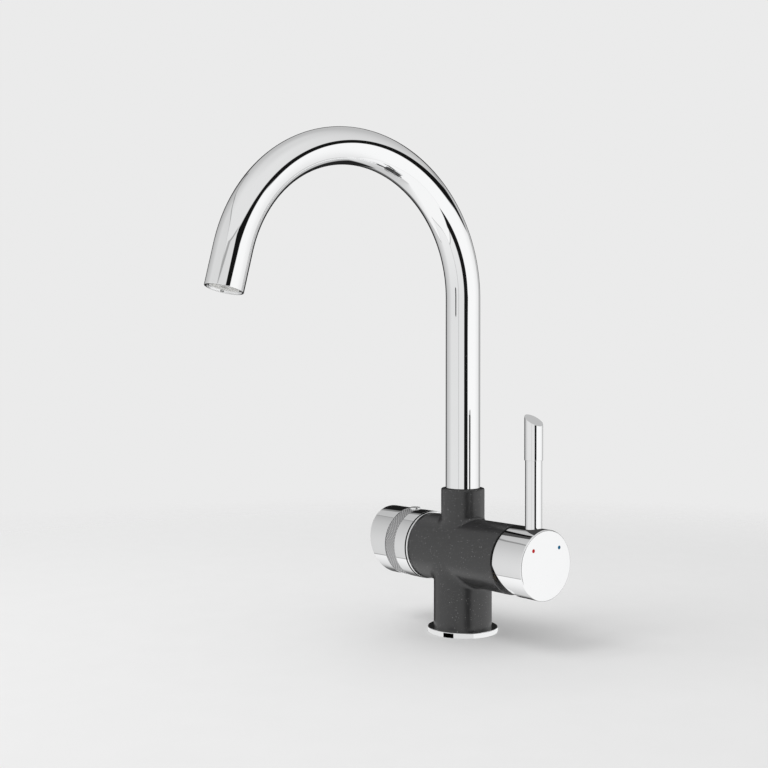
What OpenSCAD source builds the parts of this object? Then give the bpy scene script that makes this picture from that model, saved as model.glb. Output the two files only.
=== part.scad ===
// Kitchen mixer tap with a separate filtered water way: a coated brass cross body, a swivelling
// swan-neck spout, a side lever on a ceramic cartridge and a quarter-turn filter knob.
// Millimetres. The origin is the column's axis at the deck. The lever is at +X, the filter knob at -X,
// and the spout reaches towards -Y.

/* [Cross body] */
// Diameter of the upright column
column_d = 42.2; // [40:0.1:46]
// Diameter of the cross barrel and of the lever cap
cross_d = 48.4; // [47:0.1:54]
// Height of the barrel's axis above the deck
cross_z = 58.8; // [54:0.1:70]
// Reach of the barrel from the column's axis on the lever side
cross_right = 54.1; // [52:0.1:62]
// Reach of the barrel from the column's axis on the filter side
cross_left = 33.8; // [32:0.1:40]
// Diameter of the neck round the spout
neck_d = 31.6; // [30.5:0.1:36]
// Height of the neck's rim above the barrel's axis
neck_rise = 45.8; // [42:0.1:60]
// Rounding of the neck's rim
neck_edge = 1.2; // [0.4:0.1:1.6]
// Diameter of the water ways drilled in the body
way_d = 5.6; // [4:0.1:6]
// Diameter of the filtered water's oblique ways
filter_way_d = 4; // [3:0.1:4.4]
// Drop of the filtered water's turn below the barrel's axis
filter_turn = 18.5; // [17:0.1:20]

/* [Base] */
// Diameter of the base ring
ring_d = 51; // [49:0.1:60]
// Height of the base ring
ring_h = 3.8; // [3.2:0.1:6]
// Depth of the ring's seat round the column's foot
ring_seat = 1.8; // [1.2:0.1:2]
// Rounding of the ring's upper edge
ring_edge = 0.5; // [0.2:0.1:0.8]
// Opening of the ring, for the hoses and the fixing stud
ring_bore_d = 36; // [35:0.1:38]
// Thickness of the gasket under the ring
gasket_t = 1.2; // [0.8:0.1:1.2]
// Width of the gasket
gasket_w = 2.8; // [2:0.1:3]

/* [Inlet block] */
// Diameter of the block that takes the hoses
block_d = 34; // [33:0.1:35]
// Height of the block's underside above the deck
block_z = 14; // [10:0.5:16]
// Height of the block
block_h = 13; // [11:0.5:14]
// Tapping diameter of the three hose inlets
inlet_d = 9; // [8:0.1:9.5]
// Depth of the hose inlets
inlet_depth = 9; // [7:0.5:9.5]
// Tapping diameter of the fixing stud's hole
stud_d = 6.8; // [5:0.1:8.5]
// Depth of the fixing stud's hole
stud_depth = 10; // [8:0.5:10.5]
// Offset of the hot and cold inlets towards the lever
hose_x = 7.5; // [7:0.1:8]
// Offset of the hot and cold inlets to the front and back
hose_y = 8; // [7.5:0.1:8.5]
// Offset of the filter inlet and the stud towards the filter knob
stud_x = 6; // [5:0.1:7]
// Offset of the filter inlet and the stud to the front and back
stud_y = 9; // [8:0.1:9.5]
// Thickness of the seals between the block and the body
inlet_seal_t = 1.2; // [0.8:0.1:1.5]
// Width of those seals
inlet_seal_w = 1.5; // [1:0.1:1.6]

/* [Spout] */
// Diameter of the spout tube
tube_d = 25; // [23:0.1:25.5]
// Wall of the spout tube
tube_wall = 1.2; // [1:0.1:1.5]
// Radius of the swan neck's centre line
bend_r = 98.3; // [80:0.1:120]
// Height of the swan neck's centre above the neck's rim
bend_rise = 137.8; // [100:0.1:180]
// Angle that the tube bends through
bend_sweep = 165.7; // [150:0.1:180]
// Straight length at the outlet
tip_l = 27.2; // [20:0.1:50]
// Extra wall on each face of the straight end, which the bending doesn't draw out
end_swell = 0.02; // [0.02:0.01:0.05]
// Depth of the spout's socket in the neck
socket_depth = 24.6; // [24:0.1:27]
// Height of the slip ring at the socket's mouth
slip_h = 8; // [6:0.5:9]
// Wall of the slip ring
slip_wall = 1; // [0.8:0.1:1.1]
// Thickness of the slip washer under the spout
washer_t = 1; // [0.8:0.1:1.4]
// Length of the bush below the tube
bush_drop = 13.4; // [13:0.1:14]
// Length of the bush inside the tube
bush_plug = 9; // [6:0.5:12]
// Wall of the bush inside the tube
bush_wall = 2.2; // [1.8:0.1:2.6]
// Thickness of the spout's sealing rings
spout_ring_t = 2.5; // [2:0.1:2.6]
// Height of the sealing rings above the bush
ring_proud = 0.22; // [0.2:0.01:0.24]
// Land on the bush beside each sealing ring
ring_land = 1; // [0.8:0.1:1.2]
// Diameter of the screw that holds the spout
hold_screw_d = 5; // [4:0.1:5.5]
// Depth of the screw's groove in the bush
stop_depth = 1.5; // [1:0.1:1.6]
// Land above the screw's groove
stop_land = 1.6; // [1.4:0.1:1.8]
// Swing of the spout to each side
swing = 150; // [60:1:150]

/* [Filter tube and outlet] */
// Outside diameter of the filtered water tube
inner_d = 8; // [7:0.1:8.5]
// Wall of the filtered water tube
inner_wall = 1; // [0.8:0.1:1.2]
// Depth of the filtered water tube in the body
inner_plug = 6; // [5:0.1:6.5]
// Depth of the groove for the filtered water tube's seal
inner_groove = 2; // [1.8:0.1:2.2]
// Recess of the aerator from the spout's end
aerator_recess = 0.8; // [0.4:0.1:1.5]
// Length of the aerator's sleeve
sleeve_l = 9; // [7:0.1:12]
// Wall of the aerator's sleeve
sleeve_wall = 1.8; // [1.4:0.1:2]
// Recess of the aerator's insert in its sleeve
insert_recess = 0.4; // [0.2:0.1:0.8]
// Number of jets in the outer circle
outer_jets = 18; // [12:1:20]
// Number of jets in the inner circle
inner_jets = 12; // [8:1:14]
// Distance of each circle of jets from the insert's rim and from the filtered water tube
jet_inset = 1.7; // [1.4:0.1:1.8]
// Diameter of the jets in the aerator
jet_d = 1.6; // [1.2:0.1:1.8]
// Thickness of the aerator's washer
outlet_washer_t = 1.5; // [1:0.1:2]

/* [Cartridge] */
// Diameter of the mixing cartridge
cartridge_d = 35; // [34:0.1:36]
// Depth of the cartridge's chamber from the barrel's end
chamber_depth = 40.1; // [40:0.1:41]
// Thickness of the cartridge's base
cart_base_t = 6; // [5:0.1:6.5]
// Diameter of the cartridge's locating pegs
key_d = 4; // [3:0.1:4.2]
// Length of the locating pegs
key_l = 3; // [2:0.1:3.5]
// Distance of the locating pegs from the cartridge's rim
key_inset = 4.5; // [4:0.1:5]
// Thickness of the cartridge's port seals
port_seal_t = 1.5; // [1:0.1:2]
// Width of the port seals
port_seal_w = 1.3; // [1:0.1:1.4]
// Thickness of each ceramic disc
disc_t = 4; // [3:0.1:4.2]
// Diameter of the moving ceramic disc and its driver
mover_d = 22; // [20:0.1:23]
// Thickness of the disc's driver
driver_t = 6; // [5.5:0.1:6.2]
// Floor of the driver under the spindle's ball
driver_floor = 0.8; // [0.5:0.1:1]
// Rim of the mixing chamber in the moving disc
mover_rim = 3; // [2.5:0.1:4]
// Thickness of the carrier's flange
flange_t = 4; // [3:0.1:4.2]
// Diameter of the carrier's neck
carrier_d = 22; // [21:0.1:23]
// Wall of the carrier above and below its slot
carrier_wall = 3; // [2.5:0.1:3.5]
// Wall of the cartridge's housing
cart_wall = 2.5; // [2:0.1:3]
// Thickness of the housing's shoulder
shoulder_t = 3; // [2:0.1:3.2]
// Wall of the housing's neck
cart_neck_wall = 2.9; // [2:0.1:3]
// Height of the housing above the chamber's floor
cart_h = 36.5; // [36:0.1:37.5]
// Height of the lever's pin above the chamber's floor
pin_h = 33; // [32:0.1:33.5]
// Diameter of the lever's pin
pin_d = 4; // [3:0.1:4.2]
// Diameter of the nut that holds the cartridge
nut_d = 40; // [39:0.1:41]
// Depth of the nut inside the barrel's end
nut_recess = 2.1; // [1:0.1:3]
// Width of the spanner slots in the nut
nut_slot_w = 5; // [3:0.1:6]
// Depth of the spanner slots
nut_slot_depth = 2; // [1.5:0.1:3]
// Diameter of the ports in the cartridge
port_d = 6.4; // [5:0.1:6.6]
// Offset of the inlet ports below the axis
port_drop = 4; // [3.5:0.1:4.5]
// Offset of the outlet port above the axis
port_rise = 9; // [8.5:0.1:9.5]

/* [Lever] */
// Gap between the barrel and the lever cap
cap_gap = 1.1; // [1:0.1:2]
// Length of the lever cap
cap_l = 27.6; // [26.5:0.1:36]
// Rounding of the cap's front edge
cap_edge = 0.8; // [0.3:0.1:2]
// Wall round the cap's hollow
cap_wall = 3.2; // [2.5:0.1:5]
// Depth of the cap's hollow
cap_hollow = 8; // [6:0.1:9]
// Angle of the relief under the cap
relief = 25; // [25:0.1:28]
// Angle that the lever tips through to open
tip_angle = 24; // [20:0.5:24]
// Side of the spindle's square
spindle_sq = 8; // [7:0.1:8]
// Length of the spindle in front of its pin
spindle_l = 27; // [25:0.1:29]
// Length of the spindle's square behind its pin
spindle_back = 5.6; // [5:0.1:6]
// Diameter of the spindle's ball
ball_d = 6.8; // [6:0.1:7]
// Diameter of the neck behind the ball
ball_neck_d = 5.2; // [4.5:0.1:5.4]
// Depth of the ball's centre in the driver
ball_depth = 1.2; // [1:0.1:1.5]
// Distance of the rod's axis from the cap's end
rod_inset = 12; // [11:0.1:14]
// Diameter of the lever rod
rod_d = 11.5; // [9:0.1:12]
// Depth of the rod's seat in the cap
rod_seat = 0.2; // [0.2:0.1:1]
// Height of the grip's lower edge above the barrel's axis
rod_rise = 70.2; // [60:0.1:100]
// Diameter of the rod's threaded ends
tenon_d = 6; // [5:0.1:7]
// Depth of the rod's threaded ends
tenon_l = 9; // [7:0.1:10]
// Diameter of the grip
grip_d = 12.6; // [12.2:0.1:15]
// Length of the grip
grip_l = 31.2; // [26:0.1:50]
// Angle of the grip's oblique end
grip_cut = 31; // [0:1:40]
// Diameter of the lever's set screw
lever_screw_d = 5; // [4:0.1:6]
// Length of the set screws
set_screw_l = 8; // [6:0.5:9]
// Depth of the hexagon sockets in the screws
hex_depth = 1.5; // [1:0.1:2]
// Diameter of the temperature dots
dot_d = 2.6; // [1.5:0.1:4]
// Depth of the temperature dots
dot_depth = 1; // [0.6:0.1:2]
// Offset of the dots to the front and back
dot_y = 12.5; // [8:0.1:14]
// Height of the dots above the barrel's axis
dot_rise = 11.1; // [6:0.1:13]

/* [Filter valve] */
// Thickness of the trim ring behind the knob
trim_t = 1; // [0.8:0.1:1.8]
// Diameter of the trim ring
trim_d = 50.4; // [49.6:0.1:54]
// Depth of the trim ring's lip over the barrel
trim_lip = 0.5; // [0.3:0.1:1]
// Depth of the valve's bore from the barrel's end
valve_depth = 23.8; // [22:0.1:24]
// Diameter of the valve's bore
valve_d = 20; // [19:0.1:21]
// Wall of the valve's cage
cage_wall = 2; // [1.6:0.1:2.4]
// Width of the windows in the valve's cage
window_w = 8; // [6:0.1:9]
// Depth of the groove round the windows
window_groove = 2; // [1.5:0.1:2.5]
// Thickness of the valve's seat seal
seat_t = 1.5; // [1:0.1:2]
// Rim of the port in the valve's seat seal
seat_rim = 0.5; // [0.3:0.1:0.8]
// Thickness of each valve disc
valve_disc_t = 3; // [2.5:0.1:3.2]
// Land between a valve disc's two openings
disc_land = 1.6; // [1.2:0.1:2.4]
// Rim round a valve disc's openings
disc_rim = 1.5; // [1:0.1:2]
// Play of the moving valve disc in the cage
disc_play = 0.5; // [0.3:0.1:0.6]
// Thickness of the valve spindle's plate
plate_t = 2.8; // [2:0.1:3]
// Diameter of the valve's spindle
stem_d = 10; // [9:0.1:10.5]
// Thickness of the spindle's sealing rings
stem_ring_t = 1.4; // [1.2:0.1:1.6]
// Distance of the first sealing ring from the cage
stem_ring_inset = 3; // [2:0.1:3.5]
// Pitch of the two sealing rings
stem_ring_pitch = 4; // [3:0.1:4.5]
// Width of the valve's hexagon across its flats
hex_w = 24; // [22:0.5:26]
// Thickness of the valve's hexagon
hex_t = 5; // [4:0.1:6]
// Length of the valve's nose
nose_l = 2.2; // [1.5:0.1:3]
// Wall of the valve's nose
nose_wall = 3; // [2:0.1:4]
// Thickness of the spindle's clip
clip_t = 1; // [0.8:0.1:1.2]
// Width of the clip outside the spindle
clip_w = 1.5; // [1:0.1:2]
// Depth of the clip's groove
clip_groove = 1; // [0.6:0.1:1.2]
// Opening of the clip
clip_slot = 4; // [3:0.1:5]
// Land at each side of the clip and under the knob's hub
spindle_land = 1; // [0.8:0.1:1.5]
// Diameter of the spindle's end in the knob
spline_d = 8; // [7:0.1:8.5]
// Length of the spindle's end in the knob
spline_l = 15; // [14:0.1:18]

/* [Filter knob] */
// Gap between the trim ring and the knob
knob_gap = 1.1; // [0.6:0.1:2]
// Diameter of the knob
knob_d = 50.8; // [48:0.1:56]
// Length of the knob on its axis
knob_l = 40.8; // [38:0.1:50]
// Wall of the knob
knob_wall = 3.2; // [2.8:0.1:4]
// Thickness of the knob's end where it is thinnest
knob_end_t = 3; // [2.5:0.1:5]
// Slant of the knob's end, longest at the peg's side
knob_slant = 12; // [0:1:15]
// Diameter of the knob's hub
hub_d = 18; // [16:0.1:20]
// Distance of the knurled band from the knob's inner edge
band_inset = 12.35; // [10:0.1:14]
// Width of the knurled band
band_w = 11; // [8:0.1:14]
// Depth of the knurled band
band_depth = 0.4; // [0.2:0.1:0.8]
// Diameter of the knob's peg
peg_d = 7.8; // [5:0.1:9]
// Height of the peg above the knob
peg_h = 1.2; // [0.8:0.1:3]
// Diameter of the peg's shank
peg_shank_d = 3.9; // [3:0.1:4.5]
// Rounding of the peg's edge
peg_edge = 0.8; // [0.4:0.1:1]
// Angle of the peg in front of the top
peg_angle = 0; // [0:1:20]
// Diameter of the knob's set screw
knob_screw_d = 4; // [3:0.1:5]
// Diameter of the hole that the knob's screw goes in by
key_way_d = 5; // [5:0.1:6]

/* [Fits] */
// Radial clearance of pieces that turn in each other
turn_gap = 0.05; // [0.03:0.01:0.08]
// Radial clearance of pieces that stay together
seat_gap = 0.02; // [0.01:0.01:0.04]
// Gap between faces that slide over each other
slide_gap = 0.1; // [0.05:0.01:0.15]
// Gap round what must stay free
free_gap = 0.3; // [0.25:0.05:0.4]

/* [Hidden] */
$fn = 96;
eps = 0.5;

// Heights on the column's axis
foot_z = ring_h - ring_seat;
ceiling_z = block_z + block_h;
neck_top = cross_z + neck_rise;
socket_floor = neck_top - socket_depth;
bush_z = socket_floor + washer_t + slide_gap;
tube_z = bush_z + bush_drop;
bend_z = neck_top + bend_rise;
ring_z1 = bush_z + ring_land + spout_ring_t / 2;
ring_z2 = ring_z1 + spout_ring_t + ring_land;
screw_z = tube_z - stop_land - hold_screw_d / 4 - slide_gap;
inner_z = socket_floor - inner_plug;
inner_seal_z = socket_floor - inner_plug / 2;
filter_turn_z = cross_z - filter_turn;
seal_z = ceiling_z - inlet_seal_t;

// Radii of the spout and its socket
tube_r = tube_d / 2;
tube_bore = tube_r - tube_wall;
socket_r = tube_r + free_gap;
slip_r = tube_r + turn_gap + slip_wall;
bush_bore = tube_bore - bush_wall;
groove_r = tube_r - stop_depth;
ring_floor_r = tube_r + ring_proud - seat_gap - spout_ring_t;
stop_angle = swing + asin(hold_screw_d / 4 / groove_r) + 1.5;
inner_r = inner_d / 2;
inner_bore = inner_r - inner_wall;
inner_seal_r = (inner_groove - turn_gap - 2 * seat_gap) / 2;
gasket_mid = (ring_d + ring_bore_d) / 4;
gasket_outer = gasket_mid + gasket_w / 2;
gasket_inner = gasket_mid - gasket_w / 2;
end_bore = tube_bore - end_swell;
insert_r = end_bore - sleeve_wall - seat_gap;
tip_y = bend_r * (cos(bend_sweep) - 1) - tip_l * sin(bend_sweep);
tip_z = bend_z + bend_r * sin(bend_sweep) + tip_l * cos(bend_sweep);

// Places along the barrel on the lever side, from the chamber's floor outwards
cart_r = cartridge_d / 2;
floor_x = cross_right - chamber_depth;
fixed_x = floor_x + cart_base_t;
mover_x = fixed_x + disc_t + slide_gap;
driver_x = mover_x + disc_t;
flange_x = driver_x + driver_t + slide_gap;
shoulder_x = flange_x + flange_t + slide_gap;
nut_x = shoulder_x + shoulder_t;
nut_end = cross_right - nut_recess;
housing_end = floor_x + cart_h;
pivot_x = floor_x + pin_h;
ball_r = ball_d / 2;
ball_l = pivot_x - (driver_x + driver_t - ball_depth);
rest_angle = tip_angle / 2;
mover_shift = ball_l * sin(rest_angle);
carrier_r = carrier_d / 2;
cart_neck_r = carrier_r + turn_gap + cart_neck_wall;
cart_bore = cart_r - cart_wall;
key_y = cart_r - key_inset;
mixed_x = socket_r - way_d / 2 - 0.4;

// Places along the barrel on the lever's own cap, rod and grip
cap_x = cross_right + cap_gap;
cap_end = cap_x + cap_l;
cap_r = cross_d / 2;
rod_x = cap_end - rod_inset;
rod_r = rod_d / 2;
rod_z = cross_z + sqrt(cap_r * cap_r - rod_r * rod_r) - rod_seat;
grip_z = cross_z + rod_rise;
grip_top = grip_z + grip_l;
spindle_under = cross_z + (rod_x - pivot_x) * tan(rest_angle) - spindle_sq / 2 / cos(rest_angle);
lever_screw_top = spindle_under - lever_screw_d / 2 * tan(rest_angle) - seat_gap;

// Places along the barrel on the filter side, as distances from the column's axis
valve_floor = cross_left - valve_depth;
valve_r = valve_d / 2;
cage_x = valve_floor + seat_t;
cage_bore = valve_r - cage_wall;
valve_mover_x = cage_x + valve_disc_t + slide_gap;
plate_x = valve_mover_x + valve_disc_t;
cage_end = plate_x + plate_t + slide_gap;
hex_x = cross_left + trim_t;
nose_x = hex_x + hex_t;
nose_end = nose_x + nose_l;
clip_x = nose_end + slide_gap;
stem_end = clip_x + clip_t + spindle_land;
stem_r = stem_d / 2;
spline_r = spline_d / 2;
spline_end = stem_end + spline_l;
knob_x = hex_x + knob_gap;
knob_end = knob_x + knob_l;
knob_r = knob_d / 2;
knob_rake = knob_r * tan(knob_slant);
knob_floor = knob_end - knob_rake - knob_end_t;
hub_x = stem_end + spindle_land;
band_x = knob_x + band_inset;
band_mid = band_x + band_w / 2;
knob_bore = knob_r - knob_wall;
valve_mover_r = cage_bore - disc_play;
stem_ring_r = stem_ring_t / 2;
stem_floor_r = stem_r - stem_ring_t - turn_gap;
stem_rings_x = [cage_end + stem_ring_inset, cage_end + stem_ring_inset + stem_ring_pitch];
knob_screw_z = cross_z - spline_r - seat_gap - set_screw_l / 2;

// Stand a shape on the barrel's axis so that its height runs towards the lever
module to_right(x) {
    translate([x, 0, cross_z]) rotate([0, 90, 0]) children();
}

// Stand a shape on the barrel's axis so that its height runs towards the filter knob
module to_left(x) {
    translate([-x, 0, cross_z]) rotate([0, -90, 0]) children();
}

// Stand a shape on the outlet's plane so that its height runs up into the spout
module at_outlet() {
    translate([0, tip_y, tip_z]) rotate([bend_sweep + 180, 0, 0]) children();
}

// Lean a shape that is drawn along the barrel back by the spindle's angle at rest
module leaning() {
    translate([pivot_x, 0, cross_z]) rotate([0, -rest_angle, 0]) children();
}

// A round washer or sleeve
module sleeve(outer, inner, h) {
    difference() {
        cylinder(r = outer, h = h);
        translate([0, 0, -eps]) cylinder(r = inner, h = h + 2 * eps);
    }
}

// A solid round bar with its far edge rounded
module soft_bar(r, h, edge) {
    rotate_extrude() {
        square([r - edge, h]);
        square([r, h - edge]);
        translate([r - edge, h - edge]) intersection() {
            circle(edge);
            square(edge);
        }
    }
}

// A rubber ring of round section
module seal_ring(mid, section) {
    rotate_extrude() translate([mid, 0]) circle(section);
}

// A round hole between two points
module drill(from, to, d) {
    way = to - from;
    l = norm(way);
    translate(from) rotate([0, acos(way.z / l), atan2(way.y, way.x)]) cylinder(d = d, h = l);
}

// A tube along the spout's centre line, from a height on the column's axis to a distance from the outlet
module swan_neck(outer, inner, from_z, stop) {
    translate([0, 0, from_z]) sleeve(outer, inner, bend_z - from_z);
    translate([0, -bend_r, bend_z]) {
        rotate([90, 0, 90]) rotate_extrude(angle = bend_sweep) translate([bend_r, 0]) difference() {
            circle(outer);
            circle(inner);
        }
        rotate([bend_sweep, 0, 0]) translate([0, bend_r, -end_swell])
            sleeve(outer + end_swell, inner - end_swell, tip_l - stop + end_swell);
    }
}

// Copies at the hot and cold ports and the outlet port of the cartridge
module at_ports(x) {
    for (y = [-hose_y, hose_y]) translate([x, y, cross_z - port_drop]) rotate([0, 90, 0]) children();
    translate([x, 0, cross_z + port_rise]) rotate([0, 90, 0]) children();
}

// Copies at the cartridge's two locating pegs
module at_keys(x) {
    for (y = [-key_y, key_y]) translate([x, y, cross_z + port_drop]) rotate([0, 90, 0]) children();
}

// Copies at the three hose inlets
module at_inlets(z) {
    for (y = [-hose_y, hose_y]) translate([hose_x, y, z]) children();
    translate([-stud_x, -stud_y, z]) children();
}

module body_shell() {
    translate([0, 0, foot_z]) cylinder(d = column_d, h = cross_z - foot_z);
    translate([0, 0, cross_z]) soft_bar(neck_d / 2, neck_rise, neck_edge);
    to_right(-cross_left) cylinder(d = cross_d, h = cross_left + cross_right);
}

module spout_socket() {
    translate([0, 0, socket_floor]) cylinder(r = socket_r, h = socket_depth + eps);
    translate([0, 0, neck_top - slip_h - free_gap])
        cylinder(r = slip_r + seat_gap, h = slip_h + free_gap + eps);
    translate([0, 0, inner_z]) cylinder(r = inner_r + turn_gap, h = inner_plug + eps);
    translate([0, 0, inner_seal_z]) cylinder(r = inner_r + inner_groove, h = inner_groove, center = true);
    translate([0, 0, screw_z]) rotate([-90, 0, 0]) cylinder(d = hold_screw_d, h = neck_d);
}

module cartridge_chamber() {
    to_right(floor_x) cylinder(r = cart_r + slide_gap, h = chamber_depth + eps);
    to_right(nut_x - free_gap) cylinder(r = nut_d / 2 + seat_gap, h = cross_right - nut_x + free_gap + eps);
    at_keys(floor_x - key_l - free_gap) cylinder(d = key_d + 2 * seat_gap, h = key_l + free_gap + eps);
}

module valve_bore() {
    to_left(valve_floor) cylinder(r = valve_r + seat_gap, h = valve_depth + eps);
    to_left(plate_x - eps) cylinder(r = valve_r + window_groove, h = plate_t + 2 * eps);
}

module water_ways() {
    port_z = cross_z - port_drop;
    mixed_z = cross_z + port_rise;
    for (y = [-hose_y, hose_y]) {
        drill([hose_x, y, ceiling_z - eps], [hose_x, y, port_z], way_d);
        drill([hose_x, y, port_z], [floor_x + eps, y, port_z], port_d);
    }
    drill([mixed_x, 0, mixed_z], [floor_x + eps, 0, mixed_z], port_d);
    drill([mixed_x, 0, mixed_z], [mixed_x, 0, socket_floor + eps], way_d);
    drill([-stud_x, -stud_y, ceiling_z - eps], [-stud_x, -stud_y, filter_turn_z], way_d);
    drill([-stud_x, -stud_y, filter_turn_z - eps], [-valve_floor / 2, 0, cross_z], filter_way_d);
    drill([-valve_floor - eps, 0, cross_z], [-valve_floor / 3, 0, cross_z], port_d);
    drill([-plate_x - plate_t / 2, 0, cross_z + valve_r + seat_gap], [0, 0, inner_z + eps], filter_way_d);
}

module body_casting() {
    color("#4b4b4c") difference() {
        body_shell();
        translate([0, 0, foot_z - eps]) cylinder(r = block_d / 2 + seat_gap, h = ceiling_z - foot_z + eps);
        spout_socket();
        cartridge_chamber();
        valve_bore();
        water_ways();
    }
}

module base_ring() {
    color("silver") difference() {
        soft_bar(ring_d / 2, ring_h, ring_edge);
        translate([0, 0, -eps]) cylinder(d = ring_bore_d, h = ring_h + 2 * eps);
        translate([0, 0, foot_z]) cylinder(r = column_d / 2 + seat_gap, h = ring_h);
        translate([0, 0, -eps]) sleeve(gasket_outer, gasket_inner, gasket_t + eps);
    }
}

module base_gasket() {
    color("#202020") sleeve(gasket_outer - seat_gap, gasket_inner + seat_gap, gasket_t);
}

module inlet_block() {
    color("goldenrod") difference() {
        translate([0, 0, block_z]) cylinder(d = block_d, h = block_h);
        at_inlets(block_z - eps) cylinder(d = inlet_d, h = inlet_depth + eps);
        at_inlets(block_z) cylinder(d = way_d, h = block_h + eps);
        at_inlets(seal_z) cylinder(r = way_d / 2 + inlet_seal_w, h = inlet_seal_t + eps);
        translate([-stud_x, stud_y, block_z - eps]) cylinder(d = stud_d, h = stud_depth + eps);
    }
}

module inlet_seals() {
    color("#202020") at_inlets(seal_z)
        sleeve(way_d / 2 + inlet_seal_w - seat_gap, way_d / 2, inlet_seal_t);
}

module spout_tube() {
    color("silver") swan_neck(tube_r, tube_bore, tube_z, 0);
}

module spout_bush() {
    bush_l = bush_drop + bush_plug;
    stop_h = hold_screw_d / 2 + 2 * slide_gap;
    color("goldenrod") difference() {
        union() {
            translate([0, 0, bush_z]) cylinder(r = tube_r, h = bush_drop);
            translate([0, 0, bush_z]) cylinder(r = tube_bore - seat_gap, h = bush_l);
        }
        translate([0, 0, bush_z - eps]) cylinder(r = bush_bore, h = bush_l + 2 * eps);
        for (z = [ring_z1, ring_z2]) translate([0, 0, z - spout_ring_t / 2 - slide_gap])
            sleeve(tube_r + eps, ring_floor_r, spout_ring_t + 2 * slide_gap);
        rotate([0, 0, 90 - stop_angle]) rotate_extrude(angle = 2 * stop_angle)
            translate([groove_r, screw_z - stop_h / 2]) square([stop_depth + eps, stop_h]);
    }
}

module spout_seal_rings() {
    color("#202020") for (z = [ring_z1, ring_z2]) translate([0, 0, z])
        seal_ring(tube_r + ring_proud - spout_ring_t / 2, spout_ring_t / 2);
}

module upper_slip_ring() {
    color("#2b2b2b") translate([0, 0, neck_top - slip_h - free_gap])
        sleeve(slip_r, tube_r + turn_gap, slip_h);
}

module lower_slip_washer() {
    color("white") translate([0, 0, socket_floor]) sleeve(tube_r, bush_bore, washer_t);
}

module spout_screw() {
    screw_y = socket_r + slide_gap;
    screw_l = neck_d / 2 - socket_r - 2 * free_gap;
    color("silver") translate([0, 0, screw_z]) rotate([-90, 0, 0]) difference() {
        union() {
            translate([0, 0, groove_r + free_gap])
                cylinder(d = hold_screw_d / 2, h = screw_y - groove_r);
            translate([0, 0, screw_y]) cylinder(d = hold_screw_d - 2 * seat_gap, h = screw_l);
        }
        translate([0, 0, screw_y + screw_l - hex_depth])
            cylinder(d = hold_screw_d / 2, h = hex_depth + eps, $fn = 6);
    }
}

module filter_water_tube() {
    color("aliceblue")
        swan_neck(inner_r, inner_bore, inner_z + free_gap, aerator_recess + sleeve_l / 2);
}

module filter_tube_seal() {
    color("#202020") translate([0, 0, inner_seal_z])
        seal_ring(inner_r + turn_gap + seat_gap + inner_seal_r, inner_seal_r);
}

module aerator_sleeve() {
    color("silver") at_outlet() translate([0, 0, aerator_recess])
        sleeve(end_bore - seat_gap, end_bore - sleeve_wall, sleeve_l);
}

// A circle of jets through the aerator's insert
module jets(count, r) {
    for (i = [0:count - 1]) rotate([0, 0, i * 360 / count]) translate([r, 0, -eps])
        cylinder(d = jet_d, h = sleeve_l + 2 * eps);
}

module aerator_insert() {
    color("whitesmoke") at_outlet() translate([0, 0, aerator_recess + insert_recess]) difference() {
        cylinder(r = insert_r, h = sleeve_l - insert_recess);
        translate([0, 0, -eps]) cylinder(r = inner_bore, h = sleeve_l);
        translate([0, 0, sleeve_l / 2 - insert_recess])
            cylinder(r = inner_r + end_swell + seat_gap, h = sleeve_l);
        jets(outer_jets, insert_r - jet_inset);
        jets(inner_jets, inner_r + jet_inset);
    }
}

module aerator_washer() {
    color("#202020") at_outlet() translate([0, 0, aerator_recess + sleeve_l])
        sleeve(end_bore - seat_gap, end_bore - sleeve_wall, outlet_washer_t);
}

module cartridge_base() {
    color("whitesmoke") difference() {
        union() {
            to_right(floor_x) cylinder(r = cart_r, h = cart_base_t);
            at_keys(floor_x - key_l) cylinder(d = key_d, h = key_l + eps);
        }
        at_ports(floor_x - eps) cylinder(d = port_d, h = cart_base_t + 2 * eps);
        at_ports(floor_x - eps) cylinder(r = port_d / 2 + port_seal_w, h = port_seal_t + eps);
    }
}

module cartridge_seals() {
    color("#202020") at_ports(floor_x) sleeve(port_d / 2 + port_seal_w - seat_gap, port_d / 2, port_seal_t);
}

module cartridge_housing() {
    color("whitesmoke") difference() {
        union() {
            to_right(fixed_x) cylinder(r = cart_r, h = nut_x - fixed_x);
            to_right(nut_x - eps) cylinder(r = cart_neck_r, h = housing_end - nut_x + eps);
        }
        to_right(fixed_x - eps) cylinder(r = cart_bore, h = shoulder_x - fixed_x + eps);
        to_right(fixed_x) cylinder(r = carrier_r + turn_gap, h = housing_end - fixed_x + eps);
    }
}

module fixed_disc() {
    color("white") difference() {
        to_right(fixed_x) cylinder(r = cart_bore - seat_gap, h = disc_t);
        at_ports(fixed_x - eps) cylinder(d = port_d, h = disc_t + 2 * eps);
    }
}

// The moving disc rests with its driver below the axis and slides up as the lever tips out
module at_mover(x) {
    translate([x, 0, cross_z - mover_shift]) rotate([0, 90, 0]) children();
}

module moving_disc() {
    color("white") difference() {
        at_mover(mover_x) cylinder(d = mover_d, h = disc_t);
        at_mover(mover_x - eps) cylinder(r = mover_d / 2 - mover_rim, h = disc_t / 2 + eps);
    }
}

module disc_driver() {
    color("whitesmoke") difference() {
        at_mover(driver_x) cylinder(d = mover_d, h = driver_t);
        at_mover(driver_x + driver_floor) cylinder(r = ball_r + slide_gap, h = driver_t);
    }
}

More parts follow.
